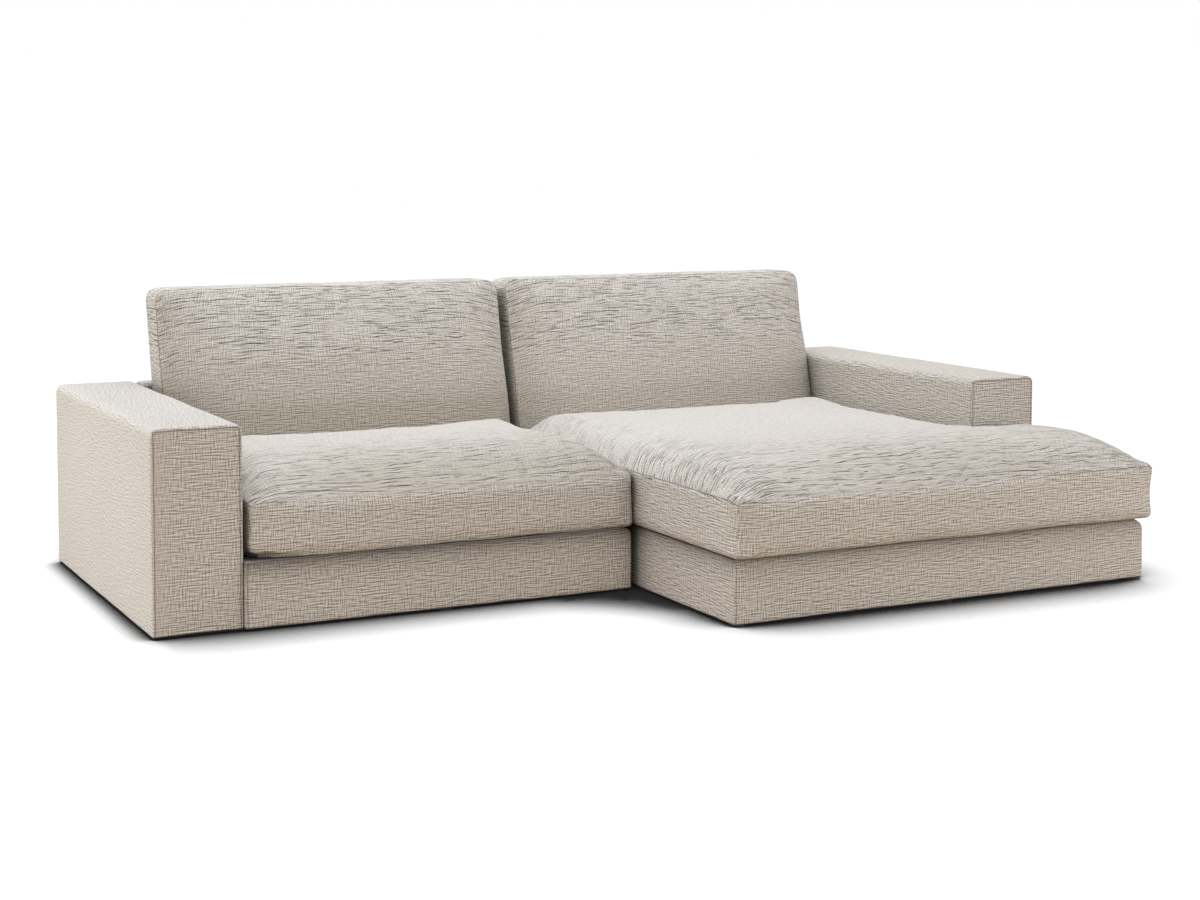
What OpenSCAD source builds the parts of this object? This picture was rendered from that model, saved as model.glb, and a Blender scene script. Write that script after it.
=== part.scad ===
// Corner sofa: a seat section with the left arm and a chaise section with the right arm, linked side
// by side, with loose seat cushions and loose back cushions. Lengths are in millimetres.
// Places are worked out from the outer face of the left arm (X), the front of the arms (Y) and the
// floor (Z), and the whole is then moved so that the origin is on the floor under its middle.

/* [Overall] */
// Width over both arms
sofa_w = 2900; // [2750:10:3200]
// Depth from the front of the arms to the rear face
body_d = 1153; // [1085:1:1305]
// Height of the arms and of the back
arm_h = 560; // [500:5:620]
// Width of an arm
arm_w = 250; // [180:5:300]
// Clear width of the seat section beside its arm
seat_w = 1182; // [1000:2:1260]
// Reach of the chaise base in front of the arms
chaise_out = 547; // [495:1:695]

/* [Base] */
// Height of the top of the base above the floor
base_h = 187; // [170:1:230]
// Reach of the seat base in front of the arms
base_out = 10; // [4:1:60]
// Inset of the end of the chaise base from the outer face of the arm
chaise_inset = 24; // [5:1:80]
// Gap between the two sections
section_gap = 24; // [4:1:40]
// Radius of the top end corner of the seat base
base_r = 28; // [10:1:44]
// Radius of the top end corner of the chaise base
chaise_r = 44; // [10:1:48]
// Thickness of the base rails
rail_t = 25; // [20:1:35]
// Thickness of the pad over the webbing
pad_t = 16; // [12:1:30]
// Width of the upholstery border round the deck cloth
deck_border = 110; // [60:5:150]
// Length of a corner block along each rail
block_leg = 70; // [40:5:90]
// Height of a corner block
block_h = 90; // [40:5:100]
// Distance from the webbing down to the middle rails
sag_room = 45; // [20:1:70]

/* [Webbing] */
// Width of a strap
strap_w = 60; // [40:1:80]
// Thickness of a strap
strap_t = 1.5; // [1:0.1:2.5]
// Least distance from strap to strap
strap_pitch = 115; // [100:1:180]
// Distance from the end of a strap to the edge of its rail
strap_end = 6; // [2:1:12]

/* [Upholstery] */
// Thickness of the fabric cover with its wadding
cover_t = 3; // [2:0.5:5]
// Thickness of the foam under the covers of the arms, backs and base sides
foam_t = 12; // [8:1:14]
// Radius of the long top edges of an arm
arm_r = 22; // [8:1:30]
// Radius of the long top edges of the back
back_r = 18; // [6:1:24]

/* [Arm and back frames] */
// Thickness of the boards of an arm
board_t = 18; // [12:1:22]
// Thickness of the hardboard panels
panel_t = 3; // [2:0.5:5]
// Thickness of the bottom rails of an arm
arm_rail_t = 22; // [18:1:30]
// Height of the bottom rails of the arms and backs
low_rail_h = 150; // [145:5:170]
// Thickness of the back
back_t = 70; // [60:1:100]
// Height of the top rail of a back
top_rail_h = 60; // [40:5:90]
// Width of a back post
post_w = 50; // [35:5:80]

/* [Seat cushions] */
// Height of the border of the seat cushions
seat_border = 158; // [120:1:190]
// Rise of the seat cushion's top over its border
seat_crown = 74; // [30:1:90]
// Rise of the chaise cushion's top over its border
chaise_crown = 76; // [30:1:90]
// Distance over which the crown rises from a cushion's front edge
front_reach = 290; // [200:5:310]
// Distance over which the crown rises from a seat cushion's other edges
side_reach = 110; // [80:5:200]
// Radius of a cushion's corners
cushion_r = 30; // [15:1:45]
// Radius of the chaise cushion's inner corner, in front of the arm
notch_r = 6; // [3:1:8]
// Radius of the bottom edge of the seat cushions
bottom_r = 14; // [6:1:25]
// How far a side is drawn in between its corners
side_pull = 6; // [0:1:12]
// How far a border is drawn in between its seams
waist = 4; // [0:0.5:8]
// Clearance between two cushions, and of the chaise section's cushions from their arm
cushion_gap = 4; // [2:0.5:10]
// Clearance of the seat cushion from its arm
arm_gap = 12; // [4:1:20]
// Overhang of the chaise cushion in front of its base
chaise_over = 25; // [0:1:50]
// Clearance of a cushion over what it stands on and leans on
rest_gap = 0.3; // [0.2:0.1:1]
// Distance from a cushion's edge to its foam core
core_wall = 30; // [25:1:45]
// Distance from a seat cushion's underside or top seam to its foam core
core_skin = 16; // [10:1:25]

/* [Back cushions] */
// Height of a back cushion
back_h = 666; // [600:2:720]
// Width of the border between the front and rear seams of a back cushion
back_border = 120; // [100:1:150]
// Rise of a back cushion's front over its seams
back_crown = 45; // [20:1:60]
// Rise of a back cushion's rear over its seams
rear_crown = 12; // [5:1:20]
// Distance over which a back cushion's crown rises from its edge
back_reach = 260; // [150:5:310]
// Lean of a back cushion from the vertical, in degrees
back_lean = 14; // [8:0.5:18]
// Depth of the flat cut on which a back cushion stands
foot_cut = 14; // [12:1:20]
// Distance from a back cushion's seams in to its core
back_core_skin = 15; // [10:1:25]
// Clearance between the seat cushions and the front seam of the back cushions
back_clear = 15; // [8:0.5:20]
// Clearance of the left back cushion from its arm
left_back_gap = 32; // [4:1:60]
// Gap between the two back cushions
back_gap = 28; // [4:1:60]

/* [Zips] */
// Width of a zip
zip_w = 10; // [8:1:16]
// Thickness of a zip
zip_t = 3; // [2:0.5:4]
// Distance from a cushion's end to its zip
zip_margin = 120; // [60:5:200]

/* [Feet and fasteners] */
// Height of a glide
glide_h = 6; // [5.5:0.5:15]
// Diameter of a glide
glide_d = 50; // [36:1:50]
// Thickness of the dust cover
dust_t = 1; // [0.5:0.1:2]
// Radius of a glide screw
screw_r = 2; // [1.5:0.1:2.5]
// Length of a glide screw under its head
screw_l = 20; // [14:1:24]
// Radius of the head of a glide screw
screw_head_r = 4.5; // [3.5:0.1:6]
// Height of the head of a glide screw
screw_head_h = 3; // [2:0.1:3]
// Depth of the screw head's seat in a glide
screw_seat = 3.5; // [3.2:0.1:4.5]
// Radius of a frame bolt
bolt_r = 4; // [3:0.5:5]
// Width of a bolt head across its corners
bolt_head_w = 15; // [12:0.5:20]
// Height of a bolt head
bolt_head_h = 5.5; // [4:0.5:8]
// Height of the lower row of arm bolts above the floor
bolt_z_low = 55; // [50:1:70]
// Height of the upper row of arm bolts above the floor
bolt_z_high = 125; // [100:1:135]
// Distance of the front arm bolts from the front of the arm
bolt_y_front = 140; // [120:5:200]
// Distance of the rear arm bolts from the rear face
bolt_y_rear = 245; // [200:5:300]
// Radius of the flange of a tee nut
nut_r = 11; // [9:0.5:14]
// Thickness of the flange of a tee nut
nut_t = 1.5; // [1:0.1:2.5]
// Radius of the sleeve of a tee nut
sleeve_r = 5.2; // [5.2:0.1:6.5]
// Length of the sleeve of a tee nut
sleeve_l = 10; // [6:1:14]
// Width of a link plate
link_w = 40; // [36:1:60]
// Thickness of a link plate
link_t = 2.5; // [2:0.5:3.5]
// Overhang of a link plate past the base rails
link_over = 4; // [0:1:12]
// Distance between the two screws in one end of a link plate
link_pitch = 20; // [16:1:24]
// Radius of a link screw
link_screw_r = 3; // [2.5:0.1:4]
// Height of the head of a link screw
link_head_h = 2; // [1.5:0.1:2.5]
// Length of a link screw under its head
link_screw_l = 34; // [20:1:38]
// Distance of the front link plate from the front of the arms
link_y_front = 200; // [160:5:400]
// Distance of the rear link plate from the rear face
link_y_rear = 330; // [280:5:400]
// Clearance of a thread in its hole
thread_fit = 0.05; // [0.02:0.01:0.1]
// Clearance of a shank or sleeve in its hole
hole_fit = 0.4; // [0.2:0.05:1]

/* [Hidden] */

$fn = 48;
FABRIC = "#cbc3b8";
DECK = "#8d8880";
FOAM = "#efe6c4";
TIMBER = "#d9b98a";
HARDBOARD = "#9c7550";
STRAP = "#3b3a3c";
BLACK = "#242426";
STEEL = "#b9bcc0";

// Levels
floor_gap = glide_h + dust_t;
skin = cover_t + foam_t;
z_pad = base_h - cover_t - pad_t;
z_rail = z_pad - 2 * strap_t;
z_seat = base_h + rest_gap;

// Places along the sofa
x_split = arm_w + seat_w;
x_seat_end = x_split - section_gap / 2;
x_chaise = x_split + section_gap / 2;
x_chaise_end = sofa_w - chaise_inset;
x_right = sofa_w - arm_w;

// Places from front to back
y_seat = -base_out;
y_chaise = -chaise_out;
y_back = body_d - back_t;
y_cushion_front = y_chaise - chaise_over;
lean = tan(back_lean);
y_rear_seam = y_back - rest_gap - rear_crown - lean * (arm_h - base_h);
y_front_seam = y_rear_seam - back_border;
y_cushion_back = y_front_seam - back_clear;
y_top_rear = y_rear_seam + lean * back_h;
y_middle = (y_cushion_front + max(body_d, y_top_rear)) / 2;

// Outlines, anticlockwise from the front left corner
seat_plan = [[arm_w, y_seat], [x_seat_end, y_seat], [x_seat_end, y_back], [arm_w, y_back]];
chaise_plan = [
    [x_chaise, y_chaise], [x_chaise_end, y_chaise], [x_chaise_end, 0],
    [x_right, 0], [x_right, y_back], [x_chaise, y_back],
];
seat_floor_plan = [
    [0, 0], [arm_w, 0], [arm_w, y_seat], [x_seat_end, y_seat], [x_seat_end, body_d], [0, body_d],
];
chaise_floor_plan = [
    [x_chaise, y_chaise], [x_chaise_end, y_chaise], [x_chaise_end, 0],
    [sofa_w, 0], [sofa_w, body_d], [x_chaise, body_d],
];
seat_cushion_plan = [
    [arm_w + arm_gap, y_seat], [x_split - cushion_gap / 2, y_seat],
    [x_split - cushion_gap / 2, y_cushion_back], [arm_w + arm_gap, y_cushion_back],
];
chaise_cushion_plan = [
    [x_split + cushion_gap / 2, y_cushion_front], [sofa_w, y_cushion_front],
    [sofa_w, -cushion_gap], [x_right - cushion_gap, -cushion_gap],
    [x_right - cushion_gap, y_cushion_back], [x_split + cushion_gap / 2, y_cushion_back],
];

// Plan geometry

function heading(a, b) = (b - a) / norm(b - a);
function inward(v) = [-v.y, v.x];
function around(plan, i) = plan[(i + len(plan)) % len(plan)];

// A plan with square corners, moved in by d on every side
function inset(plan, d) = [
    for (i = [0:len(plan) - 1])
        let (u = heading(around(plan, i - 1), plan[i]), v = heading(plan[i], around(plan, i + 1)))
        plan[i] + d * (inward(u) + inward(v))
];

function arc(centre, r, from, to) = [
    for (i = [0:8])
        let (a = from + (to - from) * i / 8)
        centre + r * [cos(a), sin(a)]
];

// An upright section from a to b with both top corners rounded
function tunnel(a, b, low, top, r) = concat(
    [[a, low], [b, low]],
    arc([b - r, top - r], r, 0, 90),
    arc([a + r, top - r], r, 90, 180)
);

module box(x0, x1, y0, y1, z0, z1) {
    translate([x0, y0, z0])
        cube([x1 - x0, y1 - y0, z1 - z0]);
}

module slab(plan, z0, z1) {
    translate([0, 0, z0])
        linear_extrude(z1 - z0)
            polygon(plan);
}

// A section drawn in X and Z, run from y0 to y1
module along_y(y0, y1) {
    translate([0, y1, 0])
        rotate([90, 0, 0])
            linear_extrude(y1 - y0)
                children();
}

// A section drawn in Y and Z, run from x0 to x1
module along_x(x0, x1) {
    translate([x0, 0, 0])
        rotate([90, 0, 90])
            linear_extrude(x1 - x0)
                children();
}

module place() {
    translate([-sofa_w / 2, -y_middle, 0])
        children();
}

module opposite() {
    translate([sofa_w, 0, 0])
        mirror([1, 0, 0])
            children();
}

// Fasteners, drawn from the face under their head, with the shank along +Z

module bolt(grip) {
    translate([0, 0, -bolt_head_h])
        cylinder(h = bolt_head_h, d = bolt_head_w, $fn = 6);
    cylinder(h = grip, r = bolt_r);
}

module tee_nut(grip) {
    difference() {
        union() {
            translate([0, 0, grip - nut_t])
                cylinder(h = nut_t, r = nut_r);
            translate([0, 0, grip - nut_t - sleeve_l])
                cylinder(h = sleeve_l, r = sleeve_r);
        }
        translate([0, 0, grip - nut_t - sleeve_l - 1])
            cylinder(h = nut_t + sleeve_l + 2, r = bolt_r + thread_fit);
    }
}

module bolt_bore(grip) {
    translate([0, 0, -1])
        cylinder(h = grip + 2, r = bolt_r + hole_fit);
    translate([0, 0, grip - nut_t - sleeve_l - hole_fit])
        cylinder(h = nut_t + sleeve_l + hole_fit + 1, r = sleeve_r + thread_fit);
    translate([0, 0, grip - nut_t])
        cylinder(h = nut_t + 1, r = nut_r + hole_fit);
}

arm_grip = rail_t + 2 * skin + panel_t + arm_rail_t;
back_grip = rail_t + back_t;

module at_arm_bolts() {
    for (y = [bolt_y_front, body_d - bolt_y_rear], z = [bolt_z_low, bolt_z_high])
        translate([arm_w + skin + rail_t, y, z])
            rotate([0, -90, 0])
                children();
}

module at_back_bolts(x0, x1) {
    for (i = [0:3])
        translate([x0 + (x1 - x0) * (2 * i + 1) / 8, y_back - skin - rail_t, bolt_z_high])
            rotate([-90, 0, 0])
                children();
}

module left_bores(x0, x1) {
    at_arm_bolts()
        bolt_bore(arm_grip);
    at_back_bolts(x0, x1)
        bolt_bore(back_grip);
}

// Glides stand under the rails and under the bottom board of each arm
rail_line = skin + rail_t / 2;
arm_glide_y = [90, body_d - 90];
seat_glide_x = [(arm_w + x_seat_end) / 2, x_seat_end - rail_line];
seat_glide_places = concat(
    [for (y = arm_glide_y) [arm_w / 2, y]],
    [for (x = seat_glide_x, y = [y_seat + rail_line, y_back - rail_line]) [x, y]]
);
chaise_glide_places = concat(
    [for (y = arm_glide_y) [sofa_w - arm_w / 2, y]],
    [for (y = [y_chaise + rail_line, y_seat, y_back - rail_line]) [x_chaise + rail_line, y]],
    [for (y = [y_chaise + rail_line, -rail_line]) [x_chaise_end - rail_line, y]],
    [[(x_chaise + x_chaise_end) / 2, y_chaise + rail_line], [(x_chaise + x_right) / 2, y_back - rail_line]]
);

module at_points(points) {
    for (p = points)
        translate([p.x, p.y, 0])
            children();
}

module glide() {
    difference() {
        cylinder(h = glide_h, d = glide_d);
        translate([0, 0, -1])
            cylinder(h = glide_h + 2, r = screw_r + hole_fit);
        translate([0, 0, -1])
            cylinder(h = screw_seat + 1, r = screw_head_r + hole_fit);
    }
}

module glide_screw() {
    translate([0, 0, screw_seat - screw_head_h])
        cylinder(h = screw_head_h, r = screw_head_r);
    translate([0, 0, screw_seat])
        cylinder(h = screw_l, r = screw_r);
}

module glide_bores(points) {
    at_points(points)
        translate([0, 0, floor_gap - 1])
            cylinder(h = screw_seat + screw_l - floor_gap + 2, r = screw_r + thread_fit);
}

// Link plates cross the gap between the sections under their end rails
link_line = section_gap / 2 + rail_line;
link_ys = [link_y_front, body_d - link_y_rear];
link_places = [
    for (y = link_ys, s = [-1, 1], t = [-0.5, 0.5])
        [x_split + s * link_line, y + t * link_pitch]
];
z_link = glide_h - link_t;

module link_bores(r) {
    at_points(link_places)
        translate([0, 0, z_link - 1])
            cylinder(h = link_screw_l + 2, r = r);
}

// Arms, drawn for the left end and turned over for the right

module arm_body(d, z0) {
    along_y(d, body_d - d)
        polygon(tunnel(d, arm_w - d, z0, arm_h - d, max(1, arm_r - d)));
}

module arm_cover() {
    difference() {
        arm_body(0, floor_gap);
        arm_body(cover_t, floor_gap + cover_t);
        box(skin, arm_w - skin, skin, body_d - skin, floor_gap - 1, floor_gap + cover_t + 1);
        at_arm_bolts()
            bolt_bore(arm_grip);
    }
}

module arm_foam() {
    difference() {
        arm_body(cover_t, floor_gap + cover_t);
        box(skin, arm_w - skin, skin, body_d - skin, floor_gap, arm_h - skin);
        at_arm_bolts()
            bolt_bore(arm_grip);
    }
}

module arm_panels() {
    for (x = [skin, arm_w - skin - panel_t])
        difference() {
            box(x, x + panel_t, skin, body_d - skin, floor_gap, arm_h - skin);
            at_arm_bolts()
                bolt_bore(arm_grip);
        }
}

module arm_frame() {
    x0 = skin + panel_t;
    x1 = arm_w - x0;
    y0 = skin + board_t;
    y1 = body_d - y0;
    z0 = floor_gap + board_t;
    z1 = arm_h - skin;
    box(x0, x1, skin, y0, floor_gap, z1);
    box(x0, x1, y1, body_d - skin, floor_gap, z1);
    box(x0, x1, y0, y1, z1 - board_t, z1);
    box(x0, x0 + arm_rail_t, y0, y1, floor_gap, floor_gap + low_rail_h);
    difference() {
        box(x1 - arm_rail_t, x1, y0, y1, floor_gap, floor_gap + low_rail_h);
        at_arm_bolts()
            bolt_bore(arm_grip);
    }
    difference() {
        box(x0 + arm_rail_t, x1 - arm_rail_t, y0, y1, floor_gap, floor_gap + board_t);
        glide_bores(seat_glide_places);
    }
    for (i = [1, 2])
        translate([0, y0 + (y1 - y0) * i / 3, 0])
            box(x0 + arm_rail_t, x1 - arm_rail_t, -board_t / 2, board_t / 2, z0, z1 - board_t);
}

// Backs, from x0 to x1

module back_body(x0, x1, d, z0) {
    along_x(x0 + d, x1 - d)
        polygon(tunnel(y_back + d, body_d - d, z0, arm_h - d, max(1, back_r - d)));
}

module back_cover(x0, x1) {
    difference() {
        back_body(x0, x1, 0, floor_gap);
        back_body(x0, x1, cover_t, floor_gap + cover_t);
        box(x0 + skin, x1 - skin, y_back + skin, body_d - skin, floor_gap - 1, floor_gap + cover_t + 1);
        at_back_bolts(x0, x1)
            bolt_bore(back_grip);
    }
}

module back_foam(x0, x1) {
    difference() {
        back_body(x0, x1, cover_t, floor_gap + cover_t);
        box(x0 + skin, x1 - skin, y_back + skin, body_d - skin, floor_gap, arm_h - skin);
        at_back_bolts(x0, x1)
            bolt_bore(back_grip);
    }
}

module back_panel(x0, x1) {
    difference() {
        box(x0 + skin, x1 - skin, y_back + skin, y_back + skin + panel_t, floor_gap, arm_h - skin);
        at_back_bolts(x0, x1)
            bolt_bore(back_grip);
    }
}

module back_frame(x0, x1) {
    a = x0 + skin;
    b = x1 - skin;
    y0 = y_back + skin + panel_t;
    y1 = body_d - skin;
    z0 = floor_gap + low_rail_h;
    z1 = arm_h - skin - top_rail_h;
    difference() {
        box(a, b, y0, y1, floor_gap, z0);
        at_back_bolts(x0, x1)
            bolt_bore(back_grip);
    }
    box(a, b, y0, y1, z1, arm_h - skin);
    for (x = [a, (a + b - post_w) / 2, b - post_w])
        box(x, x + post_w, y0, y1, z0, z1);
}

// Bases: an outline, closed in by a cover over foam, with rails inside

module end_corner(x, z, r) {
    along_y(y_chaise - 1, body_d)
        polygon(concat(arc([x - r, z - r], r, 0, 90), [[x - r, z + 1], [x + 1, z + 1], [x + 1, z - r]]));
}

module base_body(plan, x_end, r, d, z0) {
    difference() {
        slab(inset(plan, d), z0, base_h - d);
        end_corner(x_end - d, base_h - d, r - d);
    }
}

module base_cover(plan, x_end, r) {
    difference() {
        base_body(plan, x_end, r, 0, floor_gap);
        base_body(plan, x_end, r, cover_t, floor_gap + cover_t);
        slab(inset(plan, skin), floor_gap - 1, floor_gap + cover_t + 1);
        slab(inset(plan, deck_border), base_h - cover_t - 1, base_h + 1);
        children();
    }
}

module base_foam(plan, x_end, r) {
    difference() {
        base_body(plan, x_end, r, cover_t, floor_gap + cover_t);
        slab(inset(plan, skin), floor_gap, z_pad);
        children();
    }
}

module deck_cloth(plan) {
    slab(inset(plan, deck_border), base_h - cover_t, base_h);
}

module rail(x0, x1, y0, y1) {
    box(x0, x1, y0, y1, floor_gap, z_rail);
}

module middle_rail(x, y0, y1) {
    box(x - rail_t / 2, x + rail_t / 2, y0, y1, floor_gap, z_rail - sag_room);
}

module corner_block(x, y, sx, sy) {
    translate([x, y, floor_gap])
        linear_extrude(block_h)
            polygon([[0, 0], [sx * block_leg, 0], [0, sy * block_leg]]);
}

// Straps side by side along X, run from y0 to y1
module straps_along_y(x0, x1, y0, y1) {
    n = floor((x1 - x0) / strap_pitch);
    for (i = [0:n - 1])
        let (x = x0 + (x1 - x0) * (i + 0.5) / n)
        box(x - strap_w / 2, x + strap_w / 2, y0 + strap_end, y1 - strap_end, z_rail, z_rail + strap_t);
}

// Straps side by side along Y, run from x0 to x1 over the others
module straps_along_x(x0, x1, y0, y1) {
    n = floor((y1 - y0) / strap_pitch);
    for (i = [0:n - 1])
        let (y = y0 + (y1 - y0) * (i + 0.5) / n)
        box(x0 + strap_end, x1 - strap_end, y - strap_w / 2, y + strap_w / 2, z_rail + strap_t, z_pad);
}

// Cushion forms: rings of points round a plan, stacked from the underside or rear to the crown.
// A ring is [inset from the plan, share of its size towards the hub, height, rise of the crown].

function swell(d, reach) = pow(sin(90 * min(1, max(0, d) / reach)), 0.75);

// Share of the crown at p, for a plan between lo and hi without the corner beyond notch. The crown
// rises over the first distance from the edge at low Y, and over the second from every other edge.
function dome(p, lo, hi, notch, reach) =
    swell(p.y - lo.y, reach[0]) * swell(p.x - lo.x, reach[1])
    * swell(hi.x - p.x, reach[1]) * swell(hi.y - p.y, reach[1])
    * swell(norm([max(0, notch.x - p.x), max(0, notch.y - p.y)]), reach[1]);

point_step = 110;
corner_steps = 3;

// The radius of corner i, which is small where the plan turns inward
function corner_radius(plan, i, r) =
    let (b = around(plan, i), u = heading(around(plan, i - 1), b), v = heading(b, around(plan, i + 1)))
    inward(u) * v > 0 ? r : min(r, notch_r);

function ring_line(plan, steps, radius) = [
    for (i = [0:len(plan) - 1])
        let (
            b = plan[i], c = around(plan, i + 1),
            u = heading(around(plan, i - 1), b), v = heading(b, c), n = steps[i],
            r = corner_radius(plan, i, radius),
            s = b + r * v, e = c - corner_radius(plan, i + 1, radius) * v
        )
        each concat(
            [for (k = [0:corner_steps])
                let (t = 90 * k / corner_steps)
                b + r * (v - u - v * cos(t) + u * sin(t))],
            [for (k = [1:n - 1]) s + (e - s) * k / n + inward(v) * side_pull * sin(180 * k / n)]
        )
];

function side_steps(plan) = [
    for (i = [0:len(plan) - 1])
        max(2, round(norm(around(plan, i + 1) - plan[i]) / point_step))
];

function form_points(plan, rings, hub, notch, reach) =
    let (lo = [min([for (p = plan) p.x]), min([for (p = plan) p.y])],
         hi = [max([for (p = plan) p.x]), max([for (p = plan) p.y])],
         steps = side_steps(plan), first = rings[0], last = rings[len(rings) - 1])
    concat(
        [[hub.x, hub.y, first[2] + first[3] * dome(hub, lo, hi, notch, reach)]],
        [for (g = rings)
            for (p = ring_line(inset(plan, g[0]), steps, max(3, cushion_r - g[0])))
                let (q = hub + (p - hub) * g[1])
                [q.x, q.y, g[2] + g[3] * dome(q, lo, hi, notch, reach)]],
        [[hub.x, hub.y, last[2] + last[3] * dome(hub, lo, hi, notch, reach)]]
    );

function form_faces(n, m) = concat(
    [for (i = [0:n - 1]) [0, 1 + i, 1 + (i + 1) % n]],
    [for (k = [0:m - 2], i = [0:n - 1])
        let (a = 1 + k * n + i, b = 1 + k * n + (i + 1) % n)
        each [[a, a + n, b + n], [a, b + n, b]]],
    [for (i = [0:n - 1]) [1 + m * n, 1 + (m - 1) * n + (i + 1) % n, 1 + (m - 1) * n + i]]
);

// A corner too far off to matter, for a plan that has none cut out
no_notch = [2 * sofa_w, 2 * sofa_w];

// Insets of the rings over a crowned face, from the seam in, then shares of the innermost one
crown_insets = [8, 28, 64, 120, 200];
deep_inset = 200;
hub_shares = [0.7, 0.35];

function crowned(height, rise) = concat(
    [for (d = crown_insets) [d, 1, height, rise]],
    [for (s = hub_shares) [deep_inset, s, height, rise]]
);

function backwards(rings) = [for (i = [len(rings) - 1:-1:0]) rings[i]];

function seat_rings(rise) = concat(
    [[core_wall, 1, 0, 0], [bottom_r, 1, 0, 0], [0, 1, bottom_r, 0], [waist, 1, seat_border / 2, 0]],
    [[0, 1, seat_border, 0]],
    crowned(seat_border, rise)
);

back_rings = concat(
    backwards(crowned(0, -rear_crown)),
    [[0, 1, 0, 0], [waist, 1, back_border / 2, 0], [0, 1, back_border, 0]],
    crowned(back_border, back_crown)
);

module seat_form(plan, rise, hub, notch) {
    rings = seat_rings(rise);
    points = form_points(plan, rings, hub, notch, [front_reach, side_reach]);
    n = (len(points) - 2) / len(rings);
    translate([0, 0, z_seat])
        polyhedron(points, form_faces(n, len(rings)));
}

module seat_core(plan) {
    slab(inset(plan, core_wall), z_seat + core_skin, z_seat + seat_border - core_skin);
}

module seat_zip(x0, x1, y0, y1) {
    z = z_seat + seat_border / 2;
    box(x0 + zip_margin, x1 - zip_margin, y0, y1, z - zip_w / 2, z + zip_w / 2);
}

// A seat cushion's zip lies just inside its drawn-in rear border
y_zip = y_cushion_back - side_pull - waist - 2;

module seat_cushion(plan, rise, hub, notch, x0, x1) {
    difference() {
        seat_form(plan, rise, hub, notch);
        seat_core(plan);
        seat_zip(x0, x1, y_cushion_back - core_wall - 1, y_cushion_back + 1);
    }
}

// Back cushions are drawn flat, with X along the sofa and Y up the cushion, and then stood up and leant
module back_form(x0, x1) {
    plan = [[x0, -foot_cut], [x1, -foot_cut], [x1, back_h], [x0, back_h]];
    hub = [(x0 + x1) / 2, back_h / 2];
    flat_points = form_points(plan, back_rings, hub, no_notch, [back_reach, back_reach]);
    n = (len(flat_points) - 2) / len(back_rings);
    points = [for (p = flat_points) [p.x, y_rear_seam + lean * p.y - p.z, z_seat + p.y]];
    polyhedron(points, form_faces(n, len(back_rings)));
}

module back_core(x0, x1) {
    low = core_wall;
    high = back_h - core_wall;
    along_x(x0 + core_wall, x1 - core_wall)
        polygon([
            [y_front_seam + back_core_skin + lean * low, z_seat + low],
            [y_rear_seam - back_core_skin + lean * low, z_seat + low],
            [y_rear_seam - back_core_skin + lean * high, z_seat + high],
            [y_front_seam + back_core_skin + lean * high, z_seat + high],
        ]);
}

module back_zip(x0, x1, z0, z1) {
    y = y_front_seam + back_border / 2 + lean * core_wall;
    box(x0 + zip_margin, x1 - zip_margin, y - zip_w / 2, y + zip_w / 2, z_seat + z0, z_seat + z1);
}

module back_cushion(x0, x1) {
    difference() {
        back_form(x0, x1);
        back_core(x0, x1);
        back_zip(x0, x1, -1, core_wall + 1);
        box(x0 - 1, x1 + 1, y_cushion_back - back_crown, body_d, z_seat - 2 * foot_cut, z_seat);
    }
}

// Ends of the cushions and backs
left_cushion_x = [arm_w + arm_gap, x_split - cushion_gap / 2];
back_w = (x_right - cushion_gap - arm_w - left_back_gap - back_gap) / 2;
left_back_x = [arm_w + left_back_gap, arm_w + left_back_gap + back_w];
right_back_x = [x_right - cushion_gap - back_w, x_right - cushion_gap];
right_cushion_x = [x_split + cushion_gap / 2, x_right - cushion_gap];
seat_hub = [(left_cushion_x[0] + left_cushion_x[1]) / 2, (y_seat + y_cushion_back) / 2];
chaise_hub = [(right_cushion_x[0] + right_cushion_x[1]) / 2, (y_cushion_front - cushion_gap) / 2];

// Left arm

module left_arm_frame() {
    color(TIMBER)
        place()
            arm_frame();
}

module left_arm_panels() {
    color(HARDBOARD)
        place()
            arm_panels();
}

module left_arm_foam() {
    color(FOAM)
        place()
            arm_foam();
}

module left_arm_cover() {
    color(FABRIC)
        place()
            arm_cover();
}

// Back of the seat section

module left_back_frame() {
    color(TIMBER)
        place()
            back_frame(arm_w, x_seat_end);
}

module left_back_panel() {
    color(HARDBOARD)
        place()
            back_panel(arm_w, x_seat_end);
}

module left_back_foam() {
    color(FOAM)
        place()
            back_foam(arm_w, x_seat_end);
}

module left_back_cover() {
    color(FABRIC)
        place()
            back_cover(arm_w, x_seat_end);
}

// Base of the seat section

module seat_base_rails() {
    frame = inset(seat_plan, skin);
    x0 = frame[0].x;
    x1 = frame[1].x;
    y0 = frame[0].y;
    y1 = frame[2].y;
    color(TIMBER)
        place()
            difference() {
                union() {
                    rail(x0, x1, y0, y0 + rail_t);
                    rail(x0, x1, y1 - rail_t, y1);
                    rail(x0, x0 + rail_t, y0 + rail_t, y1 - rail_t);
                    rail(x1 - rail_t, x1, y0 + rail_t, y1 - rail_t);
                    middle_rail((x0 + x1) / 2, y0 + rail_t, y1 - rail_t);
                }
                left_bores(arm_w, x_seat_end);
                glide_bores(seat_glide_places);
                link_bores(link_screw_r + thread_fit);
            }
}

module seat_corner_blocks() {
    frame = inset(seat_plan, skin + rail_t);
    color(TIMBER)
        place() {
            corner_block(frame[0].x, frame[0].y, 1, 1);
            corner_block(frame[1].x, frame[1].y, -1, 1);
            corner_block(frame[2].x, frame[2].y, -1, -1);
            corner_block(frame[3].x, frame[3].y, 1, -1);
        }
}

module seat_webbing() {
    outer = inset(seat_plan, skin);
    inner = inset(seat_plan, skin + rail_t);
    color(STRAP)
        place() {
            straps_along_y(inner[0].x, inner[1].x, outer[0].y, outer[2].y);
            straps_along_x(outer[0].x, outer[1].x, inner[0].y, inner[2].y);
        }
}

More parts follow.
